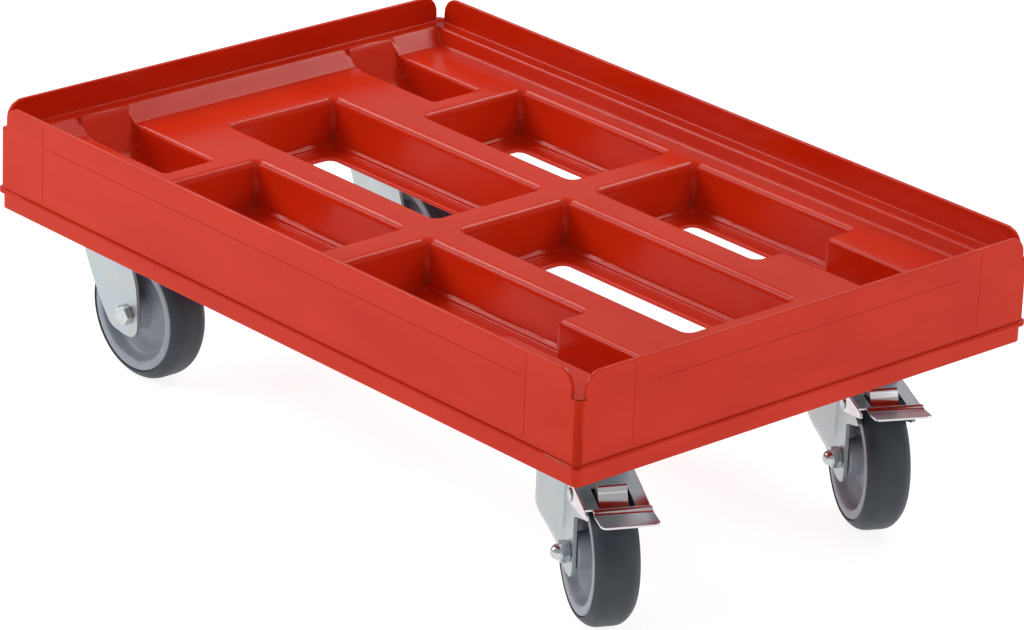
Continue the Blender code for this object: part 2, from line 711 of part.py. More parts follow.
def build_fixed_castor(side, sign, parts, cutters):
    prefix = f"fixed_{side}"
    frame = castor_frame(prefix + "_axis", FIXED_AXLE_X, sign * CASTOR_Y, 0.0 if sign > 0.0 else math.pi)
    parts.objects.link(frame)
    ahead = 1.0 if sign > 0.0 else -1.0
    shift = FIXED_PLATE_SHIFT * ahead
    under = CASTOR_HEIGHT - SHEET
    fork = flat_plate(prefix + "_fork", plate_outline(shift), under, CASTOR_HEIGHT, parts)
    fork.parent = frame

    def outline_at(z):
        edges = (between(z, FIXED_REAR) * ahead, between(z, FIXED_FRONT) * ahead)
        return min(edges), max(edges)

    legs = leg_sheet(
        prefix + "_legs", outline_at, bulged_outer(shift, FIXED_CROWN_RADIUS, *FIXED_BULGE_Z),
        FIXED_LEVELS, cutters,
    )
    legs.parent = frame
    mirror_leg(legs)
    boolean(fork, as_cutter(legs), "UNION")
    boolean(fork, axle_hole(prefix + "_axle_hole", 0.0, WHEEL_RADIUS, BOLT_HOLE_RADIUS, cutters, frame))
    finish_part(fork, "zinc_plate")
    mounting_screws(prefix, shift, parts, frame)
    wheel(prefix, 0.0, parts, frame, cutters)


def tilt_line(x):
    """Height of the pedal's upper face at a distance ahead of the swivel axis."""
    return PEDAL_BEND_Z + (PEDAL_BEND_X - x) * math.tan(PEDAL_TILT)


def pedal_plan():
    """Outline from above: full width up to the bend, then a lip inset on one side."""
    lip_x = PEDAL_LIP[-1][0]
    lip_y = PEDAL_HALF_WIDTH - 0.0003
    rear = PEDAL_REAR_X - 0.005
    wide = PEDAL_HALF_WIDTH + 0.002
    plan = [(rear, wide), (rear, -wide), (LIP_START_X, -wide), (LIP_START_X, LIP_INSET_Y)]
    centre = (lip_x - LIP_CORNER, LIP_INSET_Y + LIP_CORNER)
    plan += arc(centre, LIP_CORNER, -math.pi / 2.0, 0.0, 4)
    centre = (lip_x - LIP_CORNER, lip_y - LIP_CORNER)
    plan += arc(centre, LIP_CORNER, 0.0, math.pi / 2.0, 4)
    return plan + [(LIP_START_X, lip_y), (LIP_START_X, wide)]


def build_pedal(prefix, parts, cutters, frame):
    thick = PEDAL_SHEET / math.cos(PEDAL_TILT)
    top = [(PEDAL_REAR_X, tilt_line(PEDAL_REAR_X)), (PEDAL_BEND_X, PEDAL_BEND_Z)] + list(PEDAL_LIP)
    bottom = [(x, z - thick) for x, z in reversed(top)]
    pedal = side_plate(
        prefix + "_brake_pedal", [top + bottom], -PEDAL_HALF_WIDTH, PEDAL_HALF_WIDTH, parts,
    )
    pedal.parent = frame
    plan = flat_plate(prefix + "_pedal_plan", [pedal_plan()], 0.07, 0.13, cutters)
    plan.parent = frame
    boolean(pedal, as_cutter(plan), "INTERSECT")
    window = block(
        prefix + "_window", (WINDOW_X[0], -WINDOW_HALF_Y, 0.08), (WINDOW_X[1], WINDOW_HALF_Y, 0.12), cutters,
    )
    window.parent = frame
    boolean(pedal, as_cutter(window))
    flange = [(PEDAL_REAR_X, tilt_line(PEDAL_REAR_X) - thick / 2.0)] + list(CHEEK_EDGE)
    inner = FORK_INNER + SHEET + FIT
    cheeks = side_plate(prefix + "_cheeks", [flange], inner, PEDAL_HALF_WIDTH, cutters)
    mirror_leg(cheeks)
    cheeks.parent = frame
    boolean(pedal, as_cutter(cheeks), "UNION")
    boolean(pedal, axle_hole(prefix + "_pedal_bore", PIVOT_X, PIVOT_Z, PIVOT_RADIUS + FIT, cutters, frame))
    return pedal


def build_swivel_castor(side, sign, parts, cutters):
    prefix = f"swivel_{side}"
    base = castor_frame(prefix + "_mount", SWIVEL_AXIS_X, sign * CASTOR_Y, 0.0)
    turn = castor_frame(prefix + "_axis", SWIVEL_AXIS_X, sign * CASTOR_Y, SWIVEL_YAW[side])
    for empty in (base, turn):
        parts.objects.link(empty)
    under = CASTOR_HEIGHT - SHEET
    outlines = plate_outline(0.0) + [circle((0.0, 0.0), KINGPIN_HOLE_RADIUS, SMALL_STEPS)]
    plate = flat_plate(prefix + "_top_plate", outlines, under, CASTOR_HEIGHT, parts)
    finish_part(plate, "zinc_plate", base)
    mounting_screws(prefix, 0.0, parts, base)

    race_low = CROWN_TOP_Z + FIT
    race_high = under - FIT
    race_profile = [
        (KINGPIN_HOLE_RADIUS, race_high), (RACE_RADIUS, race_high), (RACE_RADIUS, race_high - 0.003),
        (RACE_RADIUS + 0.0025, race_low + 0.004), (RACE_RADIUS + 0.0025, race_low),
        (KINGPIN_HOLE_RADIUS, race_low),
    ]
    race = turned(prefix + "_ball_race", race_profile, parts, RACE_STEPS)
    finish_part(race, "zinc_plate", base, smooth=True)

    crown_under = CROWN_TOP_Z - SHEET
    pin_head = crown_under - FIT
    pin_profile = [
        (0.0, CASTOR_HEIGHT - FIT), (KINGPIN_RADIUS, CASTOR_HEIGHT - FIT), (KINGPIN_RADIUS, pin_head),
        (KINGPIN_HEAD_RADIUS, pin_head), (KINGPIN_HEAD_RADIUS * 0.9, pin_head - KINGPIN_HEAD),
        (0.0, pin_head - KINGPIN_HEAD),
    ]
    pin = turned(prefix + "_kingpin", pin_profile, parts, SMALL_STEPS)
    finish_part(pin, "bright_steel", base, smooth=True)

    crown_hole = circle((0.0, 0.0), KINGPIN_HOLE_RADIUS, SMALL_STEPS)
    crown_rim = circle((0.0, 0.0), CROWN_RADIUS, WHEEL_STEPS)
    fork = flat_plate(prefix + "_fork", [crown_rim, crown_hole], crown_under, CROWN_TOP_Z, parts)
    fork.parent = turn

    def outline_at(z):
        return between(z, SWIVEL_REAR), between(z, SWIVEL_FRONT)

    legs = leg_sheet(
        prefix + "_legs", outline_at, bulged_outer(0.0, CROWN_RADIUS, *SWIVEL_BULGE_Z),
        SWIVEL_LEVELS, cutters, FLANK_END_X,
    )
    legs.parent = turn
    mirror_leg(legs)
    boolean(fork, as_cutter(legs), "UNION")
    boolean(fork, axle_hole(prefix + "_axle_hole", TRAIL, WHEEL_RADIUS, BOLT_HOLE_RADIUS, cutters, turn))
    boolean(fork, axle_hole(prefix + "_pivot_hole", PIVOT_X, PIVOT_Z, PIVOT_RADIUS + FIT, cutters, turn))
    finish_part(fork, "zinc_plate")

    pivot = bpy.data.objects.new(prefix + "_pedal_axis", None)
    pivot.rotation_euler.y = -PEDAL_RAISED[side]
    pivot.empty_display_size = 0.01
    pivot.location = (PIVOT_X, 0.0, PIVOT_Z)
    pivot.parent = turn
    parts.objects.link(pivot)
    pedal_frame = bpy.data.objects.new(prefix + "_pedal_zero", None)
    pedal_frame.location = (-PIVOT_X, 0.0, -PIVOT_Z)
    pedal_frame.parent = pivot
    parts.objects.link(pedal_frame)
    pedal = build_pedal(prefix, parts, cutters, pedal_frame)
    finish_part(pedal, "bright_steel")

    seat = PEDAL_HALF_WIDTH + FIT
    rivet_profile = [
        (0.0, seat + RIVET_HEAD), (RIVET_HEAD_RADIUS * 0.7, seat + RIVET_HEAD),
        (RIVET_HEAD_RADIUS, seat + RIVET_HEAD / 2.0), (RIVET_HEAD_RADIUS, seat), (PIVOT_RADIUS, seat),
        (PIVOT_RADIUS, FORK_INNER + FIT), (0.0, FORK_INNER + FIT),
    ]
    for number, facing in enumerate((1.0, -1.0)):
        rivet = turned(f"{prefix}_pedal_rivet_{number + 1}", rivet_profile, parts, SMALL_STEPS)
        rivet.rotation_euler.x = -facing * math.pi / 2.0
        rivet.location = (PIVOT_X, 0.0, PIVOT_Z)
        finish_part(rivet, "bright_steel", turn)

    shoe = side_plate(
        prefix + "_brake_shoe", [SHOE_TOP + SHOE_UNDER], -SHOE_HALF_WIDTH, SHOE_HALF_WIDTH, parts,
    )
    finish_part(shoe, "bright_steel", pedal_frame)
    wheel(prefix, TRAIL, parts, turn, cutters)


def build_trolley():
    clear_scene()
    parts = new_collection(OBJECT_NAME)
    cutters = new_collection("trolley_cutters")
    cutters.hide_render = True
    build_deck(parts, cutters)
    for side, sign in SIDES:
        build_fixed_castor(side, sign, parts, cutters)
        build_swivel_castor(side, sign, parts, cutters)
    for item in list(parts.objects) + list(cutters.objects):
        if item.parent is None:
            item.location.x -= OVERALL_CENTRE_X
    bpy.context.view_layer.update()


build_trolley()
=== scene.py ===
"""Looks of the platform trolley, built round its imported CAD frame. Metres, +Z up."""
import math

import bmesh
import bpy
from mathutils import Matrix, Vector
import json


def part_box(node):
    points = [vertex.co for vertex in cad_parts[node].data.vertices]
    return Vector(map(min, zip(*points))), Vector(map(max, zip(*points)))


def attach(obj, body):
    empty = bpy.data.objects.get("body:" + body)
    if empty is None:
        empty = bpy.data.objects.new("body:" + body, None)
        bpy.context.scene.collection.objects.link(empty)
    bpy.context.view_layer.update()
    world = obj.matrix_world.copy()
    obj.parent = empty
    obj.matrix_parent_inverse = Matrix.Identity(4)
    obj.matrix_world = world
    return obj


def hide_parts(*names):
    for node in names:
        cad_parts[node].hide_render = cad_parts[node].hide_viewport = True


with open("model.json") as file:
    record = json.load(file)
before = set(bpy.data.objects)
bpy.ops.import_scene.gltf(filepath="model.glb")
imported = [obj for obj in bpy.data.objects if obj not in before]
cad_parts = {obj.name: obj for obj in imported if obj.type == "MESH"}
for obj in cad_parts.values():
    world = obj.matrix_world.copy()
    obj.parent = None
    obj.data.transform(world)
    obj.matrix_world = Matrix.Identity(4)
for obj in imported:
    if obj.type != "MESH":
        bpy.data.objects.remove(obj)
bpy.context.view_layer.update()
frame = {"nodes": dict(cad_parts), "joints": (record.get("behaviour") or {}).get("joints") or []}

# ---- deck sizes, as in the CAD: the skirt with its bead and lip, and the rim ----
HALF_X, HALF_Y = 0.300, 0.2025
TOP_Z, FOOT_Z = 0.200, 0.123
CORNER = 0.005
BEAD_LOW, BEAD_HIGH, BEAD_PROUD = 0.1345, 0.1380, 0.0014
LIP_IN = 0.0008
RIM = 0.003
LEDGE_Z, NOTCH_Z, DECK_Z = 0.1805, 0.1820, 0.1695
RIM_END_R, RIM_END_X, RIM_END_Y = 0.012, 0.008, 0.006
STEP_TOP, STEP_FOOT = (0.2890, 0.1885), (0.2770, 0.1845)

# ---- the ribs, pockets, slots, castor wells with their ramps, and pads over the castors ----
SKIN, WALL = 0.003, 0.0025
POCKET_Z, POCKET_R, SLOT_R = 0.1345, 0.004, 0.006
ROW_Y, MIDDLE_Y = (0.0775, 0.1690), 0.0475
ROW_X = ((-0.1700, -0.0155), (0.0125, 0.1680))
MIDDLE_X = ((-0.2365, -0.0155), (0.0125, 0.2340))
SLOT_IN_X, SLOT_IN_Y, SLOT_END = 0.020, 0.018, 0.140
WELL_Y, WELL_START, CHANNEL_START, WELL_Z = (0.102, 0.143), 0.190, 0.160, 0.1405
RAMP = (
    (0.2855, 0.1803), (0.2820, 0.1742), (0.2795, 0.1700), (0.2756, 0.1643), (0.2722, 0.1592),
    (0.2682, 0.1542), (0.2627, 0.1493), (0.2593, 0.1468), (0.2558, 0.1446), (0.2510, 0.1421),
    (0.2465, 0.1408), (0.2430, 0.1405),
)
RAMP_FOOT = (0.2690, 0.1552)
PLATE_HALF = (0.050, 0.042)
PAD_Z = (0.1283, 0.1400)
CASTOR_X, CASTOR_Y = (-0.2395, 0.2235), 0.123

# ---- detail of the moulding that only the looks have ----
FOOT_STEP, FOOT_HIGH = 0.0045, 0.0028
CREASE_Z, CREASE_X, CREASE_Y = 0.1820, 0.2470, 0.1380
SEAM_X, SEAM_Y, SEAM_LOW, SEAM_HIGH = 0.2500, 0.1555, 0.1410, 0.1985
LINE, LINE_DEEP = 0.0003, 0.0003

# ---- castor sizes, as in the CAD: the axle, the plates and the pressed sheets ----
AXLE_Z, TRAIL = 0.050, 0.039
FIXED_OFFSET = 0.0090
PLATE_TOP = 0.1280
SCREW_X, SCREW_Y = 0.040, 0.031
SCREW_HOLE, AXLE_HOLE, RIVET_HOLE, KINGPIN_HOLE = 0.0033, 0.0043, 0.0033, 0.0063
SHEET = 0.0025
FORK_INNER = 0.0175
FIT = 0.0003

OVERLAP = 0.0003    # how far joined shapes reach into each other
ROUND_STEPS = 24    # corners of a drilled hole

deck_low, deck_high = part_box("deck")
DECK_MIDDLE = Matrix.Translation(((deck_low.x + deck_high.x) / 2.0, 0.0, 0.0))

scene = bpy.context.scene
work = bpy.data.collections.new("working_shapes")
scene.collection.children.link(work)


# ---------------------------------------------------------------- mesh helpers
def put(name, mesh, holder=None):
    made = bpy.data.objects.new(name, mesh)
    (holder or scene.collection).objects.link(made)
    return made


def arc(centre, radius, start, end, steps):
    turns = [start + (end - start) * step / steps for step in range(steps + 1)]
    return [(centre[0] + radius * math.cos(t), centre[1] + radius * math.sin(t)) for t in turns]


def rounded(low, high, radius, steps=6):
    points = []
    corners = (
        (high[0] - radius, high[1] - radius), (low[0] + radius, high[1] - radius),
        (low[0] + radius, low[1] + radius), (high[0] - radius, low[1] + radius),
    )
    for quarter, centre in enumerate(corners):
        start = quarter * math.pi / 2.0
        points += arc(centre, radius, start, start + math.pi / 2.0, steps)
    return points


def at_height(point, height, along):
    """An outline's point, at a height along one axis."""
    a, b = point
    return {"x": (height, a, b), "y": (a, height, b), "z": (a, b, height)}[along]


def slab(name, outline, low, high, along="z"):
    """A closed plate: an outline extruded from low to high along one axis."""
    mesh = bpy.data.meshes.new(name)
    shape = bmesh.new()
    under = [shape.verts.new(at_height(point, low, along)) for point in outline]
    upper = [shape.verts.new(at_height(point, high, along)) for point in outline]
    shape.faces.new(under)
    shape.faces.new(upper)
    for k in range(len(outline)):
        n = (k + 1) % len(outline)
        shape.faces.new((under[k], under[n], upper[n], upper[k]))
    bmesh.ops.recalc_face_normals(shape, faces=shape.faces)
    shape.to_mesh(mesh)
    shape.free()
    return put(name, mesh, work)


def brick(name, low, high, taper=(0.0, 0.0)):
    """A box whose lower edges may be pulled in."""
    corners = [(low[0], low[1]), (high[0], low[1]), (high[0], high[1]), (low[0], high[1])]
    made = slab(name, corners, low[2], high[2])
    for vertex in made.data.vertices:
        if vertex.co.z < (low[2] + high[2]) / 2.0:
            vertex.co.x -= math.copysign(taper[0], vertex.co.x)
            vertex.co.y -= math.copysign(taper[1], vertex.co.y)
    return made


def bake(item):
    """Replace an object's mesh by what its modifiers make of it."""
    graph = bpy.context.evaluated_depsgraph_get()
    mesh = bpy.data.meshes.new_from_object(item.evaluated_get(graph))
    item.modifiers.clear()
    item.data = mesh
    return item


def combine(target, tools, operation):
    for tool in tools:
        change = target.modifiers.new("shape", "BOOLEAN")
        change.operation = operation
        change.solver = "EXACT"
        change.object = tool
    bpy.context.view_layer.update()
    bake(target)
    for tool in tools:
        bpy.data.objects.remove(tool, do_unlink=True)
    return target


def round_edges(item, width, segments, angle, weight):
    """Round every sharp edge alike, and let the shading follow the large faces."""
    change = item.modifiers.new("edges", "BEVEL")
    change.width = width
    change.segments = segments
    change.limit_method = "ANGLE"
    change.angle_limit = math.radians(angle)
    normals = item.modifiers.new("shading", "WEIGHTED_NORMAL")
    normals.keep_sharp = False
    normals.weight = weight
    return change


def soften(item, width, segments=2, angle=38.0):
    """Smooth shading with one small radius on the sharp edges."""
    round_edges(item, width, segments, angle, 60)
    item.data.shade_smooth()
    return item


def soften_by(item, radius_of, widest, segments, angle):
    """Smooth shading with a radius for each sharp edge, which radius_of gives."""
    change = round_edges(item, widest, segments, angle, 80)
    change.limit_method = "WEIGHT"
    change.use_clamp_overlap = False
    change.miter_outer = "MITER_ARC"
    shape = bmesh.new()
    shape.from_mesh(item.data)
    layer = shape.edges.layers.float.new("bevel_weight_edge")
    for edge in shape.edges:
        if len(edge.link_faces) == 2 and edge.calc_face_angle() > math.radians(angle):
            edge[layer] = radius_of(edge) / widest
    shape.to_mesh(item.data)
    shape.free()
    item.data.shade_smooth()
    return item


# ---------------------------------------------------------------- deck
def pocket_boxes():
    """Low and high corners of the six pockets: two rows of two, and two longer ones between."""
    boxes = []
    for start, end in ROW_X:
        for sign in (1.0, -1.0):
            low, high = sorted((sign * ROW_Y[0], sign * ROW_Y[1]))
            boxes.append(((start, low), (end, high)))
    for start, end in MIDDLE_X:
        boxes.append(((start, -MIDDLE_Y), (end, MIDDLE_Y)))
    return boxes


def end_space(start, end, drop, grow):
    """Side view of a well and its ramp; end is its side, 1 or -1, and drop and grow make room for walls."""
    points = [(end * (start - grow), TOP_Z), (end * (start - grow), WELL_Z - drop)]
    points += [(end * (x + grow), z - drop) for x, z in reversed(RAMP)]
    return points + [(end * (RAMP[0][0] + grow), TOP_Z)]


def skirt_lines():
    """Fine moulding lines on the outside of the skirt."""
    lines = []
    for sign in (1.0, -1.0):
        y = sorted((sign * (HALF_Y - LINE_DEEP), sign * (HALF_Y + SKIN)))
        x = sorted((sign * (HALF_X - LINE_DEEP), sign * (HALF_X + SKIN)))
        lines.append(brick("line", (-CREASE_X, y[0], CREASE_Z - LINE), (CREASE_X, y[1], CREASE_Z + LINE)))
        lines.append(brick("line", (x[0], -CREASE_Y, CREASE_Z - LINE), (x[1], CREASE_Y, CREASE_Z + LINE)))
        for flip in (1.0, -1.0):
            place = flip * SEAM_X
            lines.append(brick("line", (place - LINE, y[0], SEAM_LOW), (place + LINE, y[1], SEAM_HIGH)))
            place = flip * SEAM_Y
            lines.append(brick("line", (x[0], place - LINE, SEAM_LOW), (x[1], place + LINE, SEAM_HIGH)))
    return lines


# Places of the extra edges. They keep clear of the wells, and follow the fading roundings by the ramps.
FADE_X = (0.2660, 0.2702, 0.2740)
SPLIT_X = (-0.2000, -0.0925, -0.0015, 0.0900, 0.2000, *FADE_X, *(-x for x in FADE_X))
SPLIT_Y = (-0.1472, -0.1225, -0.0980, 0.0, 0.0980, 0.1225, 0.1472)
SPLIT_MERGE, CLEAN_MERGE = 1e-6, 0.00003
FLAT_ANGLE = 0.003
PARALLEL, SQUARE = 0.9999, 0.001


def split(item, along, places):
    """Extra edges across the flat faces, so that none of them surrounds a hole."""
    shape = bmesh.new()
    shape.from_mesh(item.data)
    axis = Matrix.Identity(3)[along]
    for place in places:
        geometry = shape.verts[:] + shape.edges[:] + shape.faces[:]
        bmesh.ops.bisect_plane(shape, geom=geometry, dist=SPLIT_MERGE, plane_co=axis * place, plane_no=axis)
    shape.to_mesh(item.data)
    shape.free()


def tidy(item):
    """Drop the slanting edges across flat faces; straight ones stay and keep the faces simple."""
    shape = bmesh.new()
    shape.from_mesh(item.data)
    doomed = []
    for edge in shape.edges:
        if len(edge.link_faces) != 2 or edge.calc_face_angle(1.0) > FLAT_ANGLE:
            continue
        normal = edge.link_faces[0].normal
        run = (edge.verts[1].co - edge.verts[0].co).normalized()
        level = [axis for axis in Matrix.Identity(3) if abs(axis.dot(normal)) < SQUARE]
        grid = level + [normal.cross(axis) for axis in level]
        if not any(abs(run.dot(way)) > PARALLEL for way in grid):
            doomed.append(edge)
    bmesh.ops.dissolve_edges(shape, edges=doomed, use_verts=False, use_face_split=False)
    bmesh.ops.remove_doubles(shape, verts=shape.verts, dist=CLEAN_MERGE)
    shape.to_mesh(item.data)
    shape.free()


NEAR = 0.0006


def near(value, *levels):
    return any(abs(value - level) < NEAR for level in levels)


def reading(value, table):
    """Value between the rows of a table of (place, value) pairs."""
    for (low, first), (high, second) in zip(table, table[1:]):
        if low <= value <= high:
            return first + (second - first) * (value - low) / (high - low)
    return table[0][1] if value < table[0][0] else table[-1][1]


def thin_wall(x, y):
    """True on the outer corners of the pocket walls, seen from below."""
    places = [abs(place) for pair in ROW_X + MIDDLE_X for place in pair]
    walls = [place + side * WALL for place in places for side in (-1.0, 1.0)]
    return near(x, *walls) and near(y, ROW_Y[0] - WALL, ROW_Y[1] + WALL, MIDDLE_Y + WALL)


# Radii of the rounded edges. Beside the wells there is little room, so the radii fade out towards the ramps.
WIDEST = 0.006
RIB_ROUND, RIB_BY_WELL, RIB_HOLLOW = 0.0056, 0.0040, 0.0020
UPRIGHT_ROUND, LEDGE_ROUND, PLAIN_ROUND = 0.0036, 0.0018, 0.0012
STEP_HOLLOW, STEP_ROUND = 0.0016, 0.0012
FOOT_HOLLOW, FOOT_ROUND = 0.0010, 0.0008
UNDER_ROUND, BEAD_ROUND, THIN_ROUND = 0.0006, 0.0005, 0.0004
RIB_FADE = ((FADE_X[0], RIB_BY_WELL), (0.2681, 0.0030), (0.2721, 0.0016), (0.2760, THIN_ROUND))
RIM_FADE = ((NOTCH_Z, 0.0001), (0.1900, 0.0004), (0.1980, 0.0009))

# Limits of the regions that get their own radius.
UNDER_Z, WALL_Z, INSIDE_Y, STEEP = DECK_Z - 0.002, WELL_Z + 0.001, HALF_Y - 0.03, 0.6
WELL_UNDER_Z = (WELL_Z - 0.0042, WELL_Z - 0.0003)
RAMP_TOE_X, RAMP_SIDE_X, RAMP_SIDE_TOP = 0.2600, 0.2440, LEDGE_Z - 0.0003
LOW_SIDE_X, LOW_SIDE_Z = RAMP[-1][0], 0.1600
MOUTH_X, MOUTH_Z, MOUTH_TOP, MOUTH_BESIDE = FADE_X[2], 0.1650, LEDGE_Z - 0.0015, 0.0052
RIM_X, RIM_Y = STEP_TOP[0] + 0.0015, STEP_TOP[1] + 0.0015
CORNER_X, CORNER_Y = 0.285, 0.185
RIM_END_START_X, RIM_END_START_Y, RIM_SIDE_Z = 0.2750, 0.1800, SEAM_HIGH + 0.0005
BEAD_BESIDE, BEAD_TOP = 0.0035, BEAD_LOW + 0.004
SKIRT_BESIDE, SKIRT_TOP = 0.0008, NOTCH_Z - 0.0005


def well_rounding(x, y, z, on_deck):
    """Radius by the castor wells and their ramps, or None anywhere else."""
    by_side = near(y, *WELL_Y)
    by_back = near(y, WELL_Y[0] - WALL, WELL_Y[1] + WALL) or near(x, WELL_START - WALL, CHANNEL_START - WALL)
    if z < UNDER_Z and (by_back or WELL_UNDER_Z[0] < z < WELL_UNDER_Z[1]):
        return 0.0
    if near(z, RAMP_FOOT[1]) and x > RAMP_TOE_X:
        return 0.0
    if near(z, WELL_Z) or (x > LOW_SIDE_X and by_side and z < LOW_SIDE_Z):
        return THIN_ROUND
    if x > RAMP_SIDE_X and by_side and z < RAMP_SIDE_TOP:
        return reading(x, RIB_FADE) if on_deck else THIN_ROUND
    beside = WELL_Y[0] - MOUTH_BESIDE < y < WELL_Y[1] + MOUTH_BESIDE
    if MOUTH_X < x < RIM_X and beside and z > MOUTH_Z:
        return THIN_ROUND if z < MOUTH_TOP else 0.0
    return None


def skirt_rounding(x, y, z):
    """Radius on the outer faces and the rim, or None inside of them."""
    if z < BEAD_TOP and (x > HALF_X - BEAD_BESIDE or y > HALF_Y - BEAD_BESIDE):
        return BEAD_ROUND
    if x > HALF_X - SKIRT_BESIDE or y > HALF_Y - SKIRT_BESIDE:
        along_rim = x < RIM_END_START_X or y < RIM_END_START_Y
        if z < SKIRT_TOP or (z < RIM_SIDE_Z and along_rim):
            return 0.0
    if x > RIM_X or y > RIM_Y:
        if near(z, NOTCH_Z):
            return 0.0
        if near(z, LEDGE_Z):
            return 0.0 if x > CORNER_X and y > CORNER_Y else PLAIN_ROUND
        return reading(z, RIM_FADE)
    return None


def tray_rounding(x, y, z, hollow, upright):
    """Radius on the ribs, the pockets and what hangs below them."""
    if z < UNDER_Z and near(z, POCKET_Z - SKIN, DECK_Z - SKIN, WELL_Z - SKIN, FOOT_Z):
        return UNDER_ROUND
    if near(z, LEDGE_Z, RAMP[0][1]):
        return LEDGE_ROUND
    if near(z, DECK_Z):
        by_well = near(y, *WELL_Y) or (near(x, WELL_START, CHANNEL_START) and WELL_Y[0] < y < WELL_Y[1])
        return RIB_HOLLOW if hollow else (RIB_BY_WELL if by_well else RIB_ROUND)
    if near(z, POCKET_Z + FOOT_HIGH):
        return STEP_HOLLOW if hollow else STEP_ROUND
    if near(z, POCKET_Z):
        return FOOT_HOLLOW if hollow else FOOT_ROUND
    if z < POCKET_Z:
        return BEAD_ROUND
    if upright and not hollow:
        open_corner = z > WALL_Z and y < INSIDE_Y and not thin_wall(x, y)
        return UPRIGHT_ROUND if open_corner else THIN_ROUND
    return PLAIN_ROUND


def deck_rounding(edge):
    """Radius of the rounding on one edge of the moulding, by where the edge lies."""
    first, second = (vertex.co for vertex in edge.verts)
    middle = (first + second) / 2.0
    place = (abs(middle.x), abs(middle.y), middle.z)
    on_deck = near(first.z, DECK_Z) and near(second.z, DECK_Z)
    upright = abs(first.z - second.z) > STEEP * (first - second).length
    radius = well_rounding(*place, on_deck)
    if radius is None:
        radius = skirt_rounding(*place)
    if radius is None:
        radius = tray_rounding(*place, not edge.is_convex, upright)
    return radius


def outer_deck():
    """The skirt with its lip and bead."""
    deck = slab("deck_moulding", rounded((-HALF_X, -HALF_Y), (HALF_X, HALF_Y), CORNER), BEAD_LOW, TOP_Z)
    lip_half = (HALF_X - LIP_IN, HALF_Y - LIP_IN)
    bead_half = (HALF_X + BEAD_PROUD, HALF_Y + BEAD_PROUD)
    lip = slab("lip", rounded((-lip_half[0], -lip_half[1]), lip_half, CORNER), FOOT_Z, BEAD_LOW + OVERLAP)
    bead = slab("bead", rounded((-bead_half[0], -bead_half[1]), bead_half, CORNER), BEAD_LOW, BEAD_HIGH)
    return combine(deck, [lip, bead], "UNION")


def rim_notches():
    """Cutters that end each side of the rim in a round shoulder, clear of its neighbour."""
    above = TOP_Z + SKIN
    cuts = []
    for end, half, along, low, high in (
        (HALF_X - RIM_END_X, HALF_X, "y", HALF_Y - 2.0 * RIM, HALF_Y + SKIN),
        (HALF_Y - RIM_END_Y, HALF_Y, "x", HALF_X - 2.0 * RIM, HALF_X + SKIN),
    ):
        centre = (end - RIM_END_R, TOP_Z - RIM_END_R)
        outline = [(end, NOTCH_Z), (half + SKIN, NOTCH_Z), (half + SKIN, above), (centre[0], above)]
        outline += arc(centre, RIM_END_R, math.pi / 2.0, 0.0, 9)
        for flip in (1.0, -1.0):
            for side in (1.0, -1.0):
                reach = sorted((side * low, side * high))
                cuts.append(slab("notch", [(flip * a, b) for a, b in outline], reach[0], reach[1], along))
    return cuts


def tray_cuts():
    """Cutters for the tray inside the rim: the ledge and the sloping step down to the ribs."""
    inner = (HALF_X - RIM, HALF_Y - RIM)
    bay = slab("bay", rounded((-inner[0], -inner[1]), inner, CORNER - RIM / 2.0), LEDGE_Z, TOP_Z + SKIN)
    slope = (STEP_TOP[0] - STEP_FOOT[0], STEP_TOP[1] - STEP_FOOT[1])
    step = brick("step", (-STEP_TOP[0], -STEP_TOP[1], DECK_Z), (*STEP_TOP, LEDGE_Z + OVERLAP), slope)
    return [bay, step]


def well_shapes():
    """Walls, open spaces and ramp blocks of the four castor wells, and the pads over the plates."""
    kept, spaces, ramps = [], [], []
    for sign in (1.0, -1.0):
        inside = sorted((sign * WELL_Y[0], sign * WELL_Y[1]))
        for start, end in ((WELL_START, -1.0), (CHANNEL_START, 1.0)):
            walled = end_space(start, end, SKIN, WALL)
            kept.append(slab("kept", walled, inside[0] - WALL, inside[1] + WALL, "y"))
            spaces.append(slab("space", end_space(start, end, 0.0, 0.0), inside[0], inside[1], "y"))
            reach = sorted((end * RAMP_FOOT[0], end * (STEP_TOP[0] + OVERLAP)))
            low, high = (reach[0], inside[0], RAMP_FOOT[1]), (reach[1], inside[1], RAMP[0][1])
            ramps.append(brick("ramp", low, high))
        for centre in CASTOR_X:
            low = (centre - PLATE_HALF[0], sign * CASTOR_Y - PLATE_HALF[1], PAD_Z[0])
            high = (centre + PLATE_HALF[0], sign * CASTOR_Y + PLATE_HALF[1], PAD_Z[1])
            kept.append(brick("kept", low, high))
    return kept, spaces, ramps


def pocket_walls():
    """Blocks round the pockets that the hollow below leaves standing."""
    walls = []
    for low, high in pocket_boxes():
        outer_low = (low[0] - WALL, low[1] - WALL, POCKET_Z - SKIN)
        walls.append(brick("kept", outer_low, (high[0] + WALL, high[1] + WALL, TOP_Z)))
    return walls


def pocket_spaces():
    """Each pocket with the small step round its floor, and the slot through it."""
    spaces = []
    for low, high in pocket_boxes():
        spaces.append(slab("pocket", rounded(low, high, POCKET_R), POCKET_Z + FOOT_HIGH, TOP_Z))
        foot_low = (low[0] + FOOT_STEP, low[1] + FOOT_STEP)
        foot_high = (high[0] - FOOT_STEP, high[1] - FOOT_STEP)
        spaces.append(slab("pocket_foot", rounded(foot_low, foot_high, POCKET_R), POCKET_Z, DECK_Z))
        end = high[0] - SLOT_IN_X
        if low[1] != -MIDDLE_Y:
            end = min(end, SLOT_END)
        slot = rounded((low[0] + SLOT_IN_X, low[1] + SLOT_IN_Y), (end, high[1] - SLOT_IN_Y), SLOT_R)
        spaces.append(slab("slot", slot, FOOT_Z, DECK_Z))
    return spaces


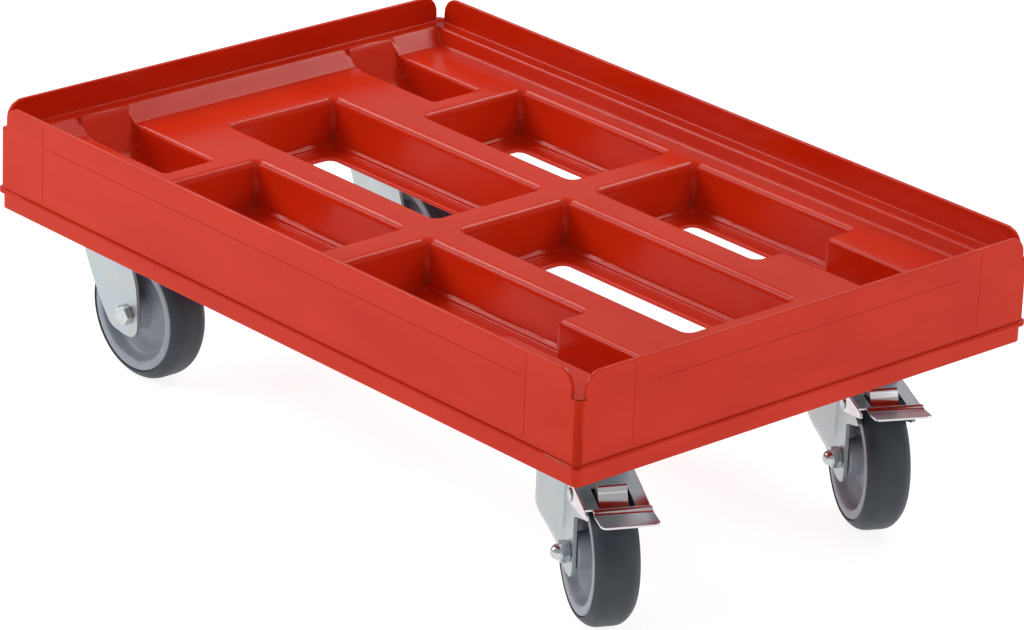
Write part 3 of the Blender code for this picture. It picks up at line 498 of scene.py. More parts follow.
def build_deck():
    """The whole moulding: hollow from below, with its wells, pockets and rounded edges."""
    deck = outer_deck()
    combine(deck, tray_cuts() + rim_notches() + skirt_lines(), "DIFFERENCE")
    hollow_low = (-HALF_X + SKIN, -HALF_Y + SKIN, FOOT_Z - SKIN)
    hollow = brick("hollow", hollow_low, (HALF_X - SKIN, HALF_Y - SKIN, DECK_Z - SKIN))
    kept, spaces, ramps = well_shapes()
    combine(hollow, pocket_walls() + kept, "DIFFERENCE")
    combine(deck, [hollow], "DIFFERENCE")
    combine(deck, ramps, "UNION")
    combine(deck, spaces + pocket_spaces(), "DIFFERENCE")
    split(deck, 0, SPLIT_X)
    split(deck, 1, SPLIT_Y)
    tidy(deck)
    return soften_by(deck, deck_rounding, WIDEST, 4, 24.0)


# ---------------------------------------------------------------- material kit
MIX_A, MIX_B, MIX_RESULT = 6, 7, 2    # the colour sockets of a Mix node


class Recipe:
    """A Principled material with a few procedural helpers."""

    def __init__(self, name):
        self.material = bpy.data.materials.new(name)
        self.material.use_nodes = True
        self.tree = self.material.node_tree
        self.shader = self.tree.nodes["Principled BSDF"]
        self.place = self.tree.nodes.new("ShaderNodeTexCoord").outputs["Object"]

    def node(self, kind, **values):
        made = self.tree.nodes.new(kind)
        for name, value in values.items():
            setattr(made, name, value)
        return made

    def link(self, output, target):
        self.tree.links.new(output, target)

    def feed(self, socket, value):
        """Set a socket to a number or a colour, or link it to another node."""
        if isinstance(value, (int, float)):
            socket.default_value = value
        elif isinstance(value, tuple):
            socket.default_value = (*value, 1.0)
        else:
            self.link(value, socket)

    def noise(self, scale, detail=4.0, roughness=0.55, stretch=(1.0, 1.0, 1.0), turn=(0.0, 0.0, 0.0)):
        mapping = self.node("ShaderNodeMapping")
        mapping.inputs["Scale"].default_value = stretch
        mapping.inputs["Rotation"].default_value = turn
        self.link(self.place, mapping.inputs["Vector"])
        made = self.node("ShaderNodeTexNoise")
        made.inputs["Scale"].default_value = scale
        made.inputs["Detail"].default_value = detail
        made.inputs["Roughness"].default_value = roughness
        self.link(mapping.outputs["Vector"], made.inputs["Vector"])
        return made.outputs["Fac"]

    def spread(self, value, low, high, out_low, out_high):
        made = self.node("ShaderNodeMapRange")
        values = {"From Min": low, "From Max": high, "To Min": out_low, "To Max": out_high}
        for name, number in values.items():
            made.inputs[name].default_value = number
        self.link(value, made.inputs["Value"])
        return made.outputs["Result"]

    def maths(self, operation, first, second):
        made = self.node("ShaderNodeMath", operation=operation)
        self.feed(made.inputs[0], first)
        self.feed(made.inputs[1], second)
        return made.outputs["Value"]

    def blend(self, share, first, second):
        made = self.node("ShaderNodeMix", data_type="RGBA")
        self.link(share, made.inputs["Factor"])
        self.feed(made.inputs[MIX_A], first)
        self.feed(made.inputs[MIX_B], second)
        return made.outputs[MIX_RESULT]

    def clouded(self, noise, first, second, low=0.35, high=0.65):
        """One colour drifting into another where the noise goes from low to high."""
        return self.blend(self.spread(noise, low, high, 0.0, 1.0), first, second)

    def bump(self, height, strength, distance, under=None):
        made = self.node("ShaderNodeBump")
        made.inputs["Strength"].default_value = strength
        made.inputs["Distance"].default_value = distance
        self.link(height, made.inputs["Height"])
        if under is not None:
            self.link(under, made.inputs["Normal"])
        return made.outputs["Normal"]

    def set(self, **values):
        for name, value in values.items():
            self.feed(self.shader.inputs[name.replace("_", " ")], value)
        return self.material


# Colours, in linear light.
RED_DEEP, RED_LIGHT, RED_SCUFF = (0.560, 0.0190, 0.0025), (0.620, 0.0270, 0.0050), (0.70, 0.22, 0.16)
ZINC_COOL, ZINC_WARM, ZINC_SPOT = (0.45, 0.52, 0.56), (0.53, 0.55, 0.54), (0.36, 0.38, 0.40)
STEEL_DARK, STEEL_LIGHT = (0.50, 0.54, 0.57), (0.62, 0.64, 0.64)
CHROME_LIGHT, CHROME_DARK = (0.74, 0.72, 0.75), (0.64, 0.62, 0.65)
GREY_DARK, GREY_LIGHT = (0.245, 0.275, 0.320), (0.300, 0.330, 0.375)
RUBBER_DARK, RUBBER_DUSTY, RUBBER_SPECK = (0.014, 0.022, 0.033), (0.028, 0.037, 0.049), (0.085, 0.092, 0.100)
PAPER_DARK, PAPER_LIGHT = (0.34, 0.34, 0.34), (0.36, 0.36, 0.36)


def red_moulding():
    """Glossy injection moulding: faint flow marks, orange peel, fine scuffs and handling marks."""
    recipe = Recipe("red_moulding")
    flow = recipe.noise(7.0, 3.0, stretch=(1.0, 1.6, 3.0))
    cloud = recipe.noise(38.0, 5.0)
    scuff = recipe.noise(55.0, 8.0, 0.7, stretch=(0.25, 6.0, 6.0), turn=(0.1, 0.0, 0.45))
    rub = recipe.noise(60.0, 8.0, 0.7, stretch=(6.0, 0.3, 5.0), turn=(0.0, 0.2, -0.2))
    tone = recipe.clouded(flow, RED_DEEP, RED_LIGHT, 0.35, 0.68)
    patches = recipe.spread(cloud, 0.45, 0.65, 0.0, 1.0)
    marks = recipe.maths("MULTIPLY", recipe.spread(scuff, 0.62, 0.76, 0.0, 1.0), patches)
    marks = recipe.maths("MAXIMUM", marks, recipe.spread(rub, 0.67, 0.80, 0.0, 0.6))
    colour = recipe.blend(recipe.maths("MULTIPLY", marks, 0.16), tone, RED_SCUFF)
    dull = recipe.maths("MULTIPLY", marks, 0.14)
    gloss = recipe.maths("ADD", recipe.spread(cloud, 0.3, 0.7, 0.17, 0.25), dull)
    peel = recipe.bump(recipe.noise(420.0, 2.0), 0.10, 0.0004)
    normal = recipe.bump(recipe.noise(26.0, 1.0), 0.10, 0.0012, peel)
    return recipe.set(Base_Color=colour, Roughness=gloss, Normal=normal, Specular_IOR_Level=0.16)


def zinc():
    """Bright zinc plating over rolled sheet, slightly cloudy, with fine drawing marks."""
    recipe = Recipe("zinc_plating")
    cloud = recipe.noise(45.0, 5.0, 0.6)
    grain = recipe.noise(260.0, 6.0, 0.65, stretch=(1.0, 1.0, 0.12))
    spot = recipe.noise(190.0, 3.0, 0.5)
    tone = recipe.clouded(cloud, ZINC_COOL, ZINC_WARM)
    tone = recipe.blend(recipe.spread(spot, 0.66, 0.80, 0.0, 0.35), tone, ZINC_SPOT)
    drawn = recipe.spread(grain, 0.3, 0.7, -0.04, 0.05)
    gloss = recipe.maths("ADD", recipe.spread(cloud, 0.3, 0.7, 0.34, 0.46), drawn)
    normal = recipe.bump(grain, 0.12, 0.0002)
    return recipe.set(Base_Color=tone, Metallic=0.92, Roughness=gloss, Normal=normal)


def bright():
    """Turned and plated fasteners."""
    recipe = Recipe("plated_fastener")
    cloud = recipe.noise(300.0, 4.0, 0.6)
    tone = recipe.clouded(cloud, STEEL_DARK, STEEL_LIGHT)
    gloss = recipe.spread(cloud, 0.3, 0.7, 0.16, 0.28)
    normal = recipe.bump(recipe.noise(900.0, 3.0), 0.10, 0.0001)
    return recipe.set(Base_Color=tone, Metallic=1.0, Roughness=gloss, Normal=normal)


def chrome():
    """Polished plated sheet with hairline scratches."""
    recipe = Recipe("polished_plate")
    hair = recipe.noise(420.0, 7.0, 0.7, stretch=(0.15, 3.0, 3.0), turn=(0.0, 0.0, 0.5))
    cloud = recipe.noise(60.0, 4.0)
    tone = recipe.clouded(cloud, CHROME_LIGHT, CHROME_DARK)
    scratches = recipe.spread(hair, 0.6, 0.8, 0.0, 0.14)
    gloss = recipe.maths("ADD", recipe.spread(cloud, 0.3, 0.7, 0.15, 0.22), scratches)
    normal = recipe.bump(recipe.noise(45.0, 2.0), 0.10, 0.0006)
    return recipe.set(Base_Color=tone, Metallic=1.0, Roughness=gloss, Normal=normal)


def grey_plastic():
    """Wheel centre: satin grey moulding with a fine spark-eroded texture."""
    recipe = Recipe("grey_moulding")
    cloud = recipe.noise(90.0, 5.0)
    tone = recipe.clouded(cloud, GREY_DARK, GREY_LIGHT)
    normal = recipe.bump(recipe.noise(1500.0, 2.0), 0.18, 0.0002)
    return recipe.set(Base_Color=tone, Roughness=recipe.spread(cloud, 0.3, 0.7, 0.36, 0.48), Normal=normal)


def rubber():
    """Slate grey tread: matt, a little dusty, with pale specks."""
    recipe = Recipe("slate_rubber")
    dust = recipe.noise(55.0, 7.0, 0.65)
    speck = recipe.noise(700.0, 3.0, 0.6)
    tone = recipe.clouded(dust, RUBBER_DARK, RUBBER_DUSTY, 0.40, 0.70)
    tone = recipe.blend(recipe.spread(speck, 0.68, 0.80, 0.0, 0.5), tone, RUBBER_SPECK)
    normal = recipe.bump(speck, 0.16, 0.0002)
    return recipe.set(Base_Color=tone, Roughness=recipe.spread(dust, 0.3, 0.7, 0.42, 0.60), Normal=normal)


MATERIALS = {
    "deck_plastic": red_moulding(), "zinc_plate": zinc(), "bright_steel": bright(),
    "pedal_chrome": chrome(), "grey_plastic": grey_plastic(), "dark_rubber": rubber(),
}


def finish_piece(piece, body, slot, *nodes):
    """Give a piece its material and let it ride in place of its CAD nodes."""
    for holder in list(piece.users_collection):
        holder.objects.unlink(piece)
    scene.collection.objects.link(piece)
    piece.data.materials.clear()
    piece.data.materials.append(MATERIALS[slot])
    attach(piece, body)
    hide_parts(*nodes)


# ---------------------------------------------------------------- turned and pressed shapes
def turned(name, profile, steps):
    """Spin a closed (radius, height) profile round the local Y axis."""
    mesh = bpy.data.meshes.new(name)
    shape = bmesh.new()
    rings = []
    for radius, height in profile:
        if radius == 0.0:
            rings.append([shape.verts.new((0.0, height, 0.0))])
            continue
        ring = []
        for step in range(steps):
            angle = 2.0 * math.pi * step / steps
            ring.append(shape.verts.new((radius * math.sin(angle), height, radius * math.cos(angle))))
        rings.append(ring)
    pairs = list(zip(rings, rings[1:]))
    if profile[0][0] > 0.0:
        pairs.append((rings[-1], rings[0]))
    for first, second in pairs:
        for step in range(steps):
            after = (step + 1) % steps
            loop = [first[step % len(first)], first[after % len(first)]]
            loop += [second[after % len(second)], second[step % len(second)]]
            shape.faces.new(list(dict.fromkeys(loop)))
    bmesh.ops.recalc_face_normals(shape, faces=shape.faces)
    shape.to_mesh(mesh)
    shape.free()
    mesh.shade_smooth()
    return put(name, mesh, work)


def eased_between(share, a, b, c, d):
    """Value on a soft curve through a, b, c and d, at a share of the way from b to c."""
    square = 2.0 * a - 5.0 * b + 4.0 * c - d
    cube = 3.0 * b - a - 3.0 * c + d
    return 0.5 * (2.0 * b + (c - a) * share + square * share * share + cube * share ** 3)


def smooth_line(points, steps):
    """Points on a soft curve through the given ones."""
    made = []
    for k in range(len(points) - 1):
        before, after = points[max(k - 1, 0)], points[min(k + 2, len(points) - 1)]
        for step in range(steps):
            along = zip(before, points[k], points[k + 1], after)
            made.append(tuple(eased_between(step / steps, *values) for values in along))
    return made + [points[-1]]


def eased(value, low, high):
    """A soft step from 0 at low to 1 at high."""
    share = min(max((value - low) / (high - low), 0.0), 1.0)
    return share * share * (3.0 - 2.0 * share)


LEG_LEVELS, LEG_COLUMNS, KNEE_COLUMNS = 56, 16, 5


def leg(rear, front, centre_x, radius, bulge, knee, sign):
    """One pressed fork leg, following its side view and swelling to the round crown above.

    rear and front are (height, x) outlines, bulge the heights between which it swells. With a knee, the last
    columns lie ahead of it, in the flat ear that carries the brake.
    """
    low, high = rear[0][0], rear[-1][0]
    main = LEG_COLUMNS if knee is None else LEG_COLUMNS - KNEE_COLUMNS
    flat = FORK_INNER + SHEET
    mesh = bpy.data.meshes.new("leg")
    shape = bmesh.new()
    rows = []
    for level in range(LEG_LEVELS + 1):
        z = low + (high - low) * level / LEG_LEVELS
        start, end = reading(z, rear), reading(z, front)
        turn_x = end if knee is None else max(min(end, knee), (start + end) / 2.0)
        row = []
        for column in range(LEG_COLUMNS + 1):
            if column <= main:
                share = column / main
                x = start + (turn_x - start) * share
            else:
                x = turn_x + (end - turn_x) * (column - main) / KNEE_COLUMNS
            reach = max(radius * radius - (x - centre_x) ** 2, 0.0)
            y = flat + eased(z, *bulge) * max(math.sqrt(reach) - flat, 0.0)
            row.append((shape.verts.new((x, sign * y, z)), shape.verts.new((x, sign * (y - SHEET), z))))
        rows.append(row)
    last = LEG_COLUMNS
    for lower, upper in zip(rows, rows[1:]):
        for column in range(last):
            a, b, c, d = upper[column], upper[column + 1], lower[column + 1], lower[column]
            shape.faces.new((a[0], b[0], c[0], d[0]))
            shape.faces.new((a[1], d[1], c[1], b[1]))
        shape.faces.new((upper[0][0], lower[0][0], lower[0][1], upper[0][1]))
        shape.faces.new((upper[last][0], upper[last][1], lower[last][1], lower[last][0]))
    for row in (rows[0], rows[-1]):
        for first, second in zip(row, row[1:]):
            shape.faces.new((first[0], first[1], second[1], second[0]))
    bmesh.ops.recalc_face_normals(shape, faces=shape.faces)
    shape.to_mesh(mesh)
    shape.free()
    return put("leg", mesh, work)


def ring_outline(radius, steps):
    turns = [2.0 * math.pi * k / steps for k in range(steps)]
    return [(radius * math.cos(turn), radius * math.sin(turn)) for turn in turns]


def drill(place, radius, low, high, along="z"):
    """A round cutter from low to high along one axis."""
    outline = [(place[0] + a, place[1] + b) for a, b in ring_outline(radius, ROUND_STEPS)]
    return slab("hole", outline, low, high, along)


ACROSS = (-0.05, 0.05, "y")    # right through a fork, along the axle
FORK_EDGE = 0.0005
PLATE_CORNER = 0.008
FIXED_SWELL_R, FIXED_SWELL_Z = 0.0320, (0.066, 0.108)
FIXED_REAR = (
    (0.0335, -0.0040), (0.0345, -0.0120), (0.0370, -0.0185), (0.0420, -0.0235), (0.0600, -0.0360),
    (0.0900, -0.0510), (0.1262, -0.0550),
)
FIXED_FRONT = (
    (0.0335, 0.0040), (0.0360, 0.0085), (0.0420, 0.0115), (0.0600, 0.0110), (0.0900, 0.0090),
    (0.1262, 0.0090),
)
OUTLINE_STEPS = 8


def fixed_fork(ahead):
    """Fork and plate of a fixed castor; ahead is 1 or -1, the way that its axle is set off."""
    plate_x = -FIXED_OFFSET * ahead
    low, high = (plate_x - PLATE_HALF[0], -PLATE_HALF[1]), (plate_x + PLATE_HALF[0], PLATE_HALF[1])
    fork = slab("fork", rounded(low, high, PLATE_CORNER, 8), PLATE_TOP - SHEET, PLATE_TOP)
    rear, front = (
        sorted((z, x * ahead) for z, x in smooth_line(outline, OUTLINE_STEPS))
        for outline in (FIXED_REAR, FIXED_FRONT)
    )
    if ahead < 0.0:
        rear, front = front, rear
    form = (rear, front, plate_x, FIXED_SWELL_R, FIXED_SWELL_Z, None)
    legs = [leg(*form, sign) for sign in (1.0, -1.0)]
    combine(fork, legs, "UNION")
    holes = [drill((0.0, AXLE_Z), AXLE_HOLE, *ACROSS)]
    for x in (-SCREW_X, SCREW_X):
        for y in (-SCREW_Y, SCREW_Y):
            holes.append(drill((plate_x + x, y), SCREW_HOLE, PLATE_TOP - 0.008, PLATE_TOP + 0.012))
    combine(fork, holes, "DIFFERENCE")
    return soften(fork, FORK_EDGE)


SWIVEL_R, CROWN_Z = 0.031, (0.1105, 0.1130)
SWIVEL_SWELL_Z, KNEE_X = (0.040, 0.068), 0.0240
SWIVEL_REAR = (
    (0.0330, 0.0340), (0.0342, 0.0290), (0.0375, 0.0225), (0.0420, 0.0140), (0.0500, -0.0030),
    (0.0600, -0.0150), (0.0690, -0.0208), (0.0780, -0.0230), (0.0850, -0.0235), (0.1112, -0.0235),
)
SWIVEL_FRONT = (
    (0.0330, 0.0410), (0.0338, 0.0440), (0.0360, 0.0462), (0.0400, 0.0478), (0.0450, 0.0480),
    (0.0760, 0.0470), (0.0785, 0.0485), (0.0850, 0.0680), (0.0860, 0.0703), (0.0870, 0.0713),
    (0.0878, 0.0710), (0.0925, 0.0590), (0.0955, 0.0500), (0.0972, 0.0430), (0.0980, 0.0360),
    (0.1015, 0.0318), (0.1060, 0.0312), (0.1085, 0.0290), (0.1112, 0.0240),
)
PIVOT = Vector((0.0430, 0.0, 0.0915))


def swivel_fork():
    """Fork of a swivel castor: a round crown, two swelling legs and the ears for the brake."""
    fork = slab("fork", ring_outline(SWIVEL_R, 72), *CROWN_Z)
    form = (SWIVEL_REAR, SWIVEL_FRONT, 0.0, SWIVEL_R, SWIVEL_SWELL_Z, KNEE_X)
    legs = [leg(*form, sign) for sign in (1.0, -1.0)]
    combine(fork, legs, "UNION")
    holes = [
        drill((TRAIL, AXLE_Z), AXLE_HOLE, *ACROSS), drill((PIVOT.x, PIVOT.z), RIVET_HOLE, *ACROSS),
        drill((0.0, 0.0), KINGPIN_HOLE, 0.10, 0.12),
    ]
    combine(fork, holes, "DIFFERENCE")
    return soften(fork, FORK_EDGE)


def both_sides(side):
    """A turned profile that is the same on both sides of the wheel."""
    return [*side, *((radius, -y) for radius, y in reversed(side) if y > 0.0)]


WHEEL_STEPS = 96


def wheel_centre():
    """Hub, dished web and flange of the grey moulding."""
    side = (
        (0.0063, 0.0160), (0.0067, 0.0164), (0.0114, 0.0164), (0.0119, 0.0160), (0.0121, 0.0150),
        (0.0126, 0.0086), (0.0131, 0.0072), (0.0141, 0.0063), (0.0155, 0.0058), (0.0238, 0.0042),
        (0.0248, 0.0034), (0.0256, 0.0034), (0.0266, 0.0042), (0.0315, 0.0054), (0.0330, 0.0062),
        (0.0340, 0.0076), (0.0349, 0.0104), (0.0356, 0.0134), (0.0361, 0.0143), (0.0370, 0.0148),
        (0.0380, 0.0149), (0.0415, 0.0149), (0.0422, 0.0146), (0.0425, 0.0140),
    )
    return turned("wheel_centre", both_sides(side), WHEEL_STEPS)


def tyre():
    """Tread with rounded shoulders."""
    side = (
        (0.0428, 0.0145), (0.0430, 0.0150), (0.0434, 0.0152), (0.0440, 0.01505), (0.0447, 0.01455),
        (0.0457, 0.0137), (0.0467, 0.0127), (0.0476, 0.0117), (0.0484, 0.0107), (0.0490, 0.0096),
        (0.0495, 0.0084), (0.0498, 0.0071), (0.0500, 0.0054), (0.0500, 0.0),
    )
    return turned("tyre", both_sides(side), WHEEL_STEPS)


def hexagon(across):
    radius = across / 2.0 / math.cos(math.pi / 6.0)
    return [(radius * math.cos(math.pi * k / 3.0), radius * math.sin(math.pi * k / 3.0)) for k in range(6)]


HEX_ACROSS, SHANK_R = 0.0130, 0.0040
HEAD_START = FORK_INNER + SHEET + FIT
HEAD_HIGH, NUT_HIGH, DOME_R = 0.0053, 0.0065, 0.0055
DOME_TURNS = (0.25, 0.45, 0.65, 0.85, 1.05, 1.25, 1.42)
FASTENER_STEPS, SHANK_STEPS = 48, 32
FASTENER_EDGE = (0.0002, 2, 25.0)


def axle_bolt():
    """Hexagon head with chamfered corners, on its shank."""
    top = HEAD_START + HEAD_HIGH
    head = slab("bolt", hexagon(HEX_ACROSS), HEAD_START, top, "y")
    form = [
        (0.0, HEAD_START), (0.0063, HEAD_START), (0.0080, HEAD_START + 0.0007),
        (0.0080, top - 0.0011), (0.0061, top - 0.0001), (0.0059, top), (0.0, top),
    ]
    combine(head, [turned("form", form, FASTENER_STEPS)], "INTERSECT")
    root, tip = top - 0.002, -0.0260
    shank = [(0.0, root), (SHANK_R, root), (SHANK_R, tip + 0.0002), (0.0036, tip), (0.0, tip)]
    combine(head, [turned("shank", shank, SHANK_STEPS)], "UNION")
    return soften(head, *FASTENER_EDGE)


def axle_nut():
    """Hexagon cap nut with a domed end, open to the shank."""
    start, end = -HEAD_START, -HEAD_START - NUT_HIGH
    nut = slab("nut", hexagon(HEX_ACROSS), end, start, "y")
    form = [
        (0.0, start), (0.0064, start), (0.0079, start - 0.0008),
        (0.0079, end + 0.0012), (0.0062, end), (0.0, end),
    ]
    combine(nut, [turned("form", form, FASTENER_STEPS)], "INTERSECT")
    dome = [(0.0, end + OVERLAP), (DOME_R, end + OVERLAP), (DOME_R, end - 0.0004)]
    dome += [(DOME_R * math.cos(turn), end - DOME_R * math.sin(turn)) for turn in DOME_TURNS]
    dome.append((0.0, end - DOME_R))
    combine(nut, [turned("dome", dome, FASTENER_STEPS)], "UNION")
    inside, bottom = SHANK_R + FIT, -0.0268
    bore = [(0.0, start + 0.001), (inside, start + 0.001), (inside, bottom), (0.0, bottom)]
    combine(nut, [turned("bore", bore, SHANK_STEPS)], "DIFFERENCE")
    return soften(nut, *FASTENER_EDGE)


# ---------------------------------------------------------------- brake
TILT = math.radians(12.0)
THICK = 0.0016 / math.cos(TILT)
PEDAL_Y = 0.0219
PEDAL_REAR, PEDAL_BEND = 0.0370, (0.0755, 0.0951)
LIP_X, LIP_INSET, LIP_CORNER = 0.1010, -0.0175, 0.0040
FOLD_ROUND, CUT_ROUND = 0.0013, 0.00035
WINDOW_LOW, WINDOW_HIGH, WINDOW_CORNER = (0.0530, -0.0120), (0.0752, 0.0120), 0.0018
SHOE_HALF = 0.0098


def pedal_line(x):
    """Height of the pedal's plate, which slopes down to the bend."""
    return PEDAL_BEND[1] + (PEDAL_BEND[0] - x) * math.tan(TILT)


def pedal_rounding(edge):
    """Pressed bends are round; cut sheet edges are almost sharp."""
    first, second = (vertex.co for vertex in edge.verts)
    middle = (first + second) / 2.0
    along_fold = abs(first.x - second.x) > 0.9 * (first - second).length
    on_plate = abs(middle.z - pedal_line(middle.x)) < 0.0004
    at_side = abs(middle.y) > PEDAL_Y - 0.0004 and middle.x < PEDAL_BEND[0]
    return FOLD_ROUND if along_fold and on_plate and at_side else CUT_ROUND


def pedal_plan():
    """The pedal from above: wide over the cheeks, and a narrower lip with round corners."""
    wide, side = PEDAL_Y + 0.002, PEDAL_Y - FIT
    rear, start = 0.0300, PEDAL_BEND[0] + 0.001
    plan = [(rear, wide), (rear, -wide), (start, -wide), (start, LIP_INSET)]
    plan += arc((LIP_X - LIP_CORNER, LIP_INSET + LIP_CORNER), LIP_CORNER, -math.pi / 2.0, 0.0, 7)
    plan += arc((LIP_X - LIP_CORNER, side - LIP_CORNER), LIP_CORNER, 0.0, math.pi / 2.0, 7)
    return plan + [(start, side), (start, wide)]


def cheek_outline():
    """Side view of the cheek that hangs from the plate beside the fork's ear."""
    outline = [(PEDAL_REAR, pedal_line(PEDAL_REAR) - THICK / 2.0)]
    outline += smooth_line([(0.0371, 0.0900), (0.0394, 0.0868), (0.0430, 0.0856), (0.0480, 0.0860)], 4)
    outline += [(0.0700, 0.0880), (0.0790, 0.0892), (0.0806, 0.0896), (0.0806, 0.0904), (0.0800, 0.0930)]
    return outline + [(0.0752, 0.0942)]


def brake_pedal():
    """Bent pedal plate with its window, a raised ridge, a level lip and two side cheeks."""
    ridge = [
        PEDAL_BEND, (0.0773, 0.0960), (0.0790, 0.0964), (0.0808, 0.0957), (0.0826, 0.0945),
        (0.0860, 0.0941), (LIP_X, 0.0937),
    ]
    top = [(PEDAL_REAR, pedal_line(PEDAL_REAR))] + smooth_line(ridge, 5)
    bottom = [(x, z - THICK) for x, z in reversed(top)]
    plate = slab("pedal", top + bottom, -PEDAL_Y, PEDAL_Y, "y")
    combine(plate, [slab("plan", pedal_plan(), 0.07, 0.13)], "INTERSECT")
    window = slab("window", rounded(WINDOW_LOW, WINDOW_HIGH, WINDOW_CORNER, 4), 0.08, 0.12)
    cheeks = []
    for sign in (1.0, -1.0):
        reach = sorted((sign * HEAD_START, sign * PEDAL_Y))
        cheeks.append(slab("cheek", cheek_outline(), *reach, "y"))
    combine(plate, cheeks, "UNION")
    combine(plate, [window, drill((PIVOT.x, PIVOT.z), RIVET_HOLE, *ACROSS)], "DIFFERENCE")
    return soften_by(plate, pedal_rounding, FOLD_ROUND, 3, 28.0)


def brake_shoe():
    """Bent brake tongue whose rounded crest shows in the pedal's window."""
    top = (
        (0.0570, 0.0985), (0.0572, 0.1015), (0.0582, 0.1035), (0.0600, 0.1045), (0.0618, 0.1038),
        (0.0629, 0.1012), (0.0637, 0.0982), (0.0658, 0.0950), (0.0700, 0.0920), (0.0733, 0.0902),
    )
    under = (
        (0.0718, 0.0890), (0.0683, 0.0914), (0.0645, 0.0940), (0.0622, 0.0978), (0.0613, 0.1008),
        (0.0606, 0.1025), (0.0598, 0.1030), (0.0590, 0.1024), (0.0587, 0.1010), (0.0586, 0.0985),
    )
    shoe = slab("shoe", smooth_line(top, 4) + smooth_line(under, 4), -SHOE_HALF, SHOE_HALF, "y")
    return soften(shoe, 0.0003, 2, 30.0)


def rivet():
    """Low domed head and its stub in the fork."""
    seat = PEDAL_Y + FIT
    profile = (
        (0.0, seat + 0.0013), (0.0020, seat + 0.0013), (0.0034, seat + 0.0011), (0.0044, seat + 0.0007),
        (0.0048, seat + 0.0002), (0.0048, seat), (0.0030, seat), (0.0030, 0.0178), (0.0, 0.0178),
    )
    return turned("rivet", profile, 40)


# ---------------------------------------------------------------- placing
JOINTS = {joint["name"]: joint for joint in frame["joints"]}
ROOT = "trolley_deck"
RAISED = math.radians(9.5)    # how far the left pedal is up at rest


def copy_at(master, name, matrix):
    """A copy of a master shape, with its modifiers, at its place."""
    made = master.copy()
    made.data = master.data.copy()
    made.name = name
    work.objects.link(made)
    made.matrix_world = matrix
    return made


def upright_frame(origin, side_axis):
    """A local frame at origin whose Y lies along side_axis and whose Z is up."""
    ahead = side_axis.cross(Vector((0.0, 0.0, 1.0)))
    turn = Matrix((ahead, side_axis, Vector((0.0, 0.0, 1.0)))).transposed().to_4x4()
    return Matrix.Translation(origin) @ turn


def head_parts(side, base, head, pedal):
    """What a swivel castor has beside its wheel: fork, rivets, pedal and shoe."""
    at_pivot = base @ Matrix.Translation(PIVOT)
    parts = [("swivel_fork", "fork", base, head, "zinc_plate")]
    for number, flip in ((1, 0.0), (2, math.pi)):
        place = at_pivot @ Matrix.Rotation(flip, 4, "Z")
        parts.append(("rivet", f"pedal_rivet_{number}", place, head, "bright_steel"))
    raised = RAISED if side == "left" else 0.0
    lifted = at_pivot @ Matrix.Rotation(-raised, 4, "Y") @ Matrix.Translation(-PIVOT)
    parts += [(name, "brake_" + name, lifted, pedal, "pedal_chrome") for name in ("pedal", "shoe")]
    return parts


def place_castor(kind, side):
    """All the detailed pieces of one castor, each on its own body."""
    prefix = f"{kind}_{side}"
    swings = kind == "swivel"
    head, wheel = prefix + "_head" if swings else ROOT, prefix + "_wheel"
    axis = Vector(JOINTS[prefix + "_roll"]["axis"])
    if not swings and side == "right":
        axis = -axis
    low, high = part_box(prefix + "_wheel_centre")
    centre = (low + high) / 2.0
    ground = upright_frame(Vector((centre.x, centre.y, 0.0)), axis)
    axle = ground @ Matrix.Translation((0.0, 0.0, AXLE_Z))
    parts = [
        ("centre", "wheel_centre", axle, wheel, "grey_plastic"),
        ("tyre", "tyre", axle, wheel, "dark_rubber"),
        ("bolt", "axle_bolt", axle, head, "bright_steel"),
        ("nut", "axle_nut", axle, head, "bright_steel"),
    ]
    if swings:
        base = ground @ Matrix.Translation((-TRAIL, 0.0, 0.0))
        parts += head_parts(side, base, head, prefix + "_pedal")
    else:
        parts.append((f"fixed_fork_{side}", "fork", ground, head, "zinc_plate"))
    for shape_name, node, place, body, slot in parts:
        piece = copy_at(shapes[shape_name], f"{prefix}_{node}_look", place)
        finish_piece(piece, body, slot, f"{prefix}_{node}")


deck = build_deck()
deck.matrix_world = DECK_MIDDLE
finish_piece(deck, ROOT, "deck_plastic", "deck")

shapes = {
    "centre": wheel_centre(), "tyre": tyre(), "bolt": axle_bolt(), "nut": axle_nut(),
    "swivel_fork": swivel_fork(), "pedal": brake_pedal(), "shoe": brake_shoe(), "rivet": rivet(),
    "fixed_fork_left": fixed_fork(1.0), "fixed_fork_right": fixed_fork(-1.0),
}
for side in ("left", "right"):
    place_castor("fixed", side)
    place_castor("swivel", side)
for master in shapes.values():
    bpy.data.objects.remove(master, do_unlink=True)

# The CAD nodes that stay get their finish and softer edges. Their meshes are left alone.
FASTENERS = ("axle_sleeve", "kingpin")
for node, item in frame["nodes"].items():
    if item.hide_render:
        continue
    slot = "bright_steel" if node.endswith(FASTENERS) else "zinc_plate"
    for holder in item.material_slots:
        holder.material = MATERIALS[slot]
    weld = item.modifiers.new("joined", "WELD")
    weld.merge_threshold = 0.00001
    round_edges(item, 0.0004, 2, 34.0, 50)


# ---------------------------------------------------------------- floor, light, camera
def plane(name, size, z):
    mesh = bpy.data.meshes.new(name)
    shape = bmesh.new()
    bmesh.ops.create_grid(shape, x_segments=1, y_segments=1, size=size)
    shape.to_mesh(mesh)
    shape.free()
    made = put(name, mesh)
    made.location.z = z
    return made


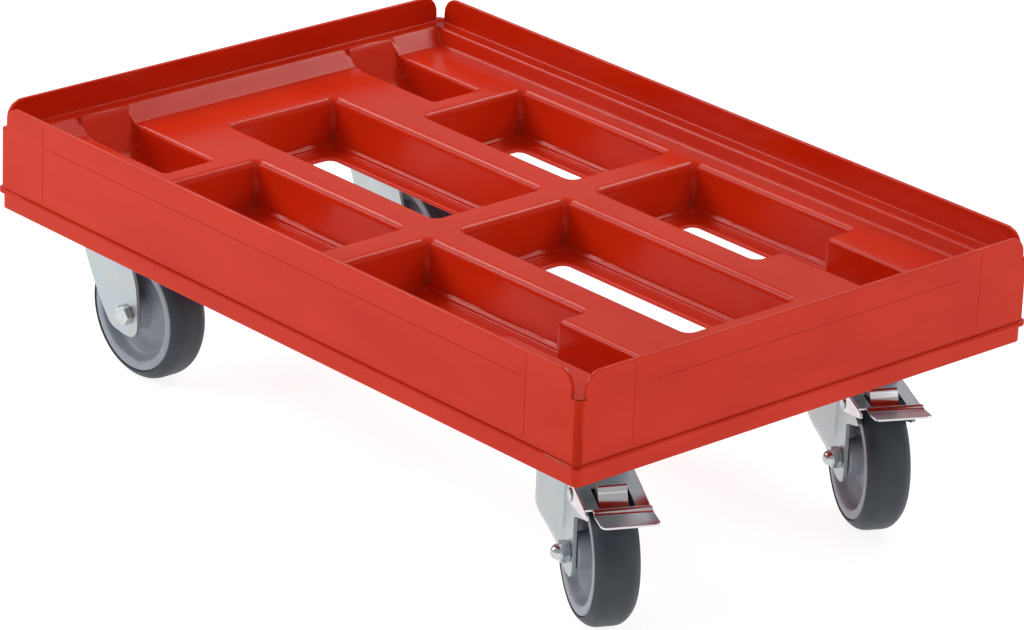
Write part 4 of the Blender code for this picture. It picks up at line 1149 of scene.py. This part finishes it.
floor = plane("studio_floor", 30.0, 0.0)
paper = Recipe("pale_paper")
paper_tone = paper.blend(paper.noise(3.0, 3.0), PAPER_DARK, PAPER_LIGHT)
paper.set(Emission_Color=paper_tone, Emission_Strength=2.45, Specular_IOR_Level=0.0)
floor.data.materials.append(paper.set(Base_Color=paper_tone, Roughness=0.9))

scene.view_settings.view_transform = "Standard"
world = scene.world or bpy.data.worlds.new("studio")
scene.world = world
world.use_nodes = True
sky = world.node_tree.nodes["Background"]
sky.inputs["Color"].default_value = (1.0, 1.0, 1.0, 1.0)
sky.inputs["Strength"].default_value = 0.47


def lamp(name, place, target, size, power):
    """A soft box of a width and height in metres, aimed at a point."""
    data = bpy.data.lights.new(name, "AREA")
    data.shape = "RECTANGLE"
    data.size, data.size_y = size
    data.energy = power
    made = bpy.data.objects.new(name, data)
    scene.collection.objects.link(made)
    made.location = place
    made.rotation_euler = (Vector(target) - Vector(place)).to_track_quat("-Z", "Y").to_euler()


lamp("key", (-1.2, -1.3, 1.2), (-0.1, 0.0, 0.1), (1.0, 0.8), 13.0)
lamp("left", (-1.85, -0.10, 2.00), (0.0, 0.0, 0.15), (1.2, 0.7), 19.0)
lamp("back", (-0.05, 1.75, 2.10), (0.0, 0.0, 0.15), (1.2, 0.7), 19.0)
lamp("fill", (2.0, 0.4, 0.7), (0.0, 0.0, 0.15), (1.0, 0.8), 4.5)

# The camera faces the corner between +X and -Y: from straight down it is rolled, tipped up and turned.
CAMERA_PLACE = Vector((2.449991, -2.230693, 1.454808))
CAMERA_TURN, CAMERA_TIP, CAMERA_ROLL = math.radians(47.4266), math.radians(67.6329), math.radians(2.4009)
camera_data = bpy.data.cameras.new("camera")
camera_data.sensor_width = 36.0
camera_data.lens = 183.32
camera_data.shift_x = -0.00765
camera_data.shift_y = 0.00036
camera_data.clip_end = 50.0
camera = bpy.data.objects.new("camera", camera_data)
scene.collection.objects.link(camera)
aim = Matrix.Rotation(CAMERA_TURN, 4, "Z") @ Matrix.Rotation(CAMERA_TIP, 4, "X")
aim = aim @ Matrix.Rotation(CAMERA_ROLL, 4, "Z")
camera.matrix_world = DECK_MIDDLE @ Matrix.Translation(CAMERA_PLACE) @ aim
scene.camera = camera

bpy.data.collections.remove(work)
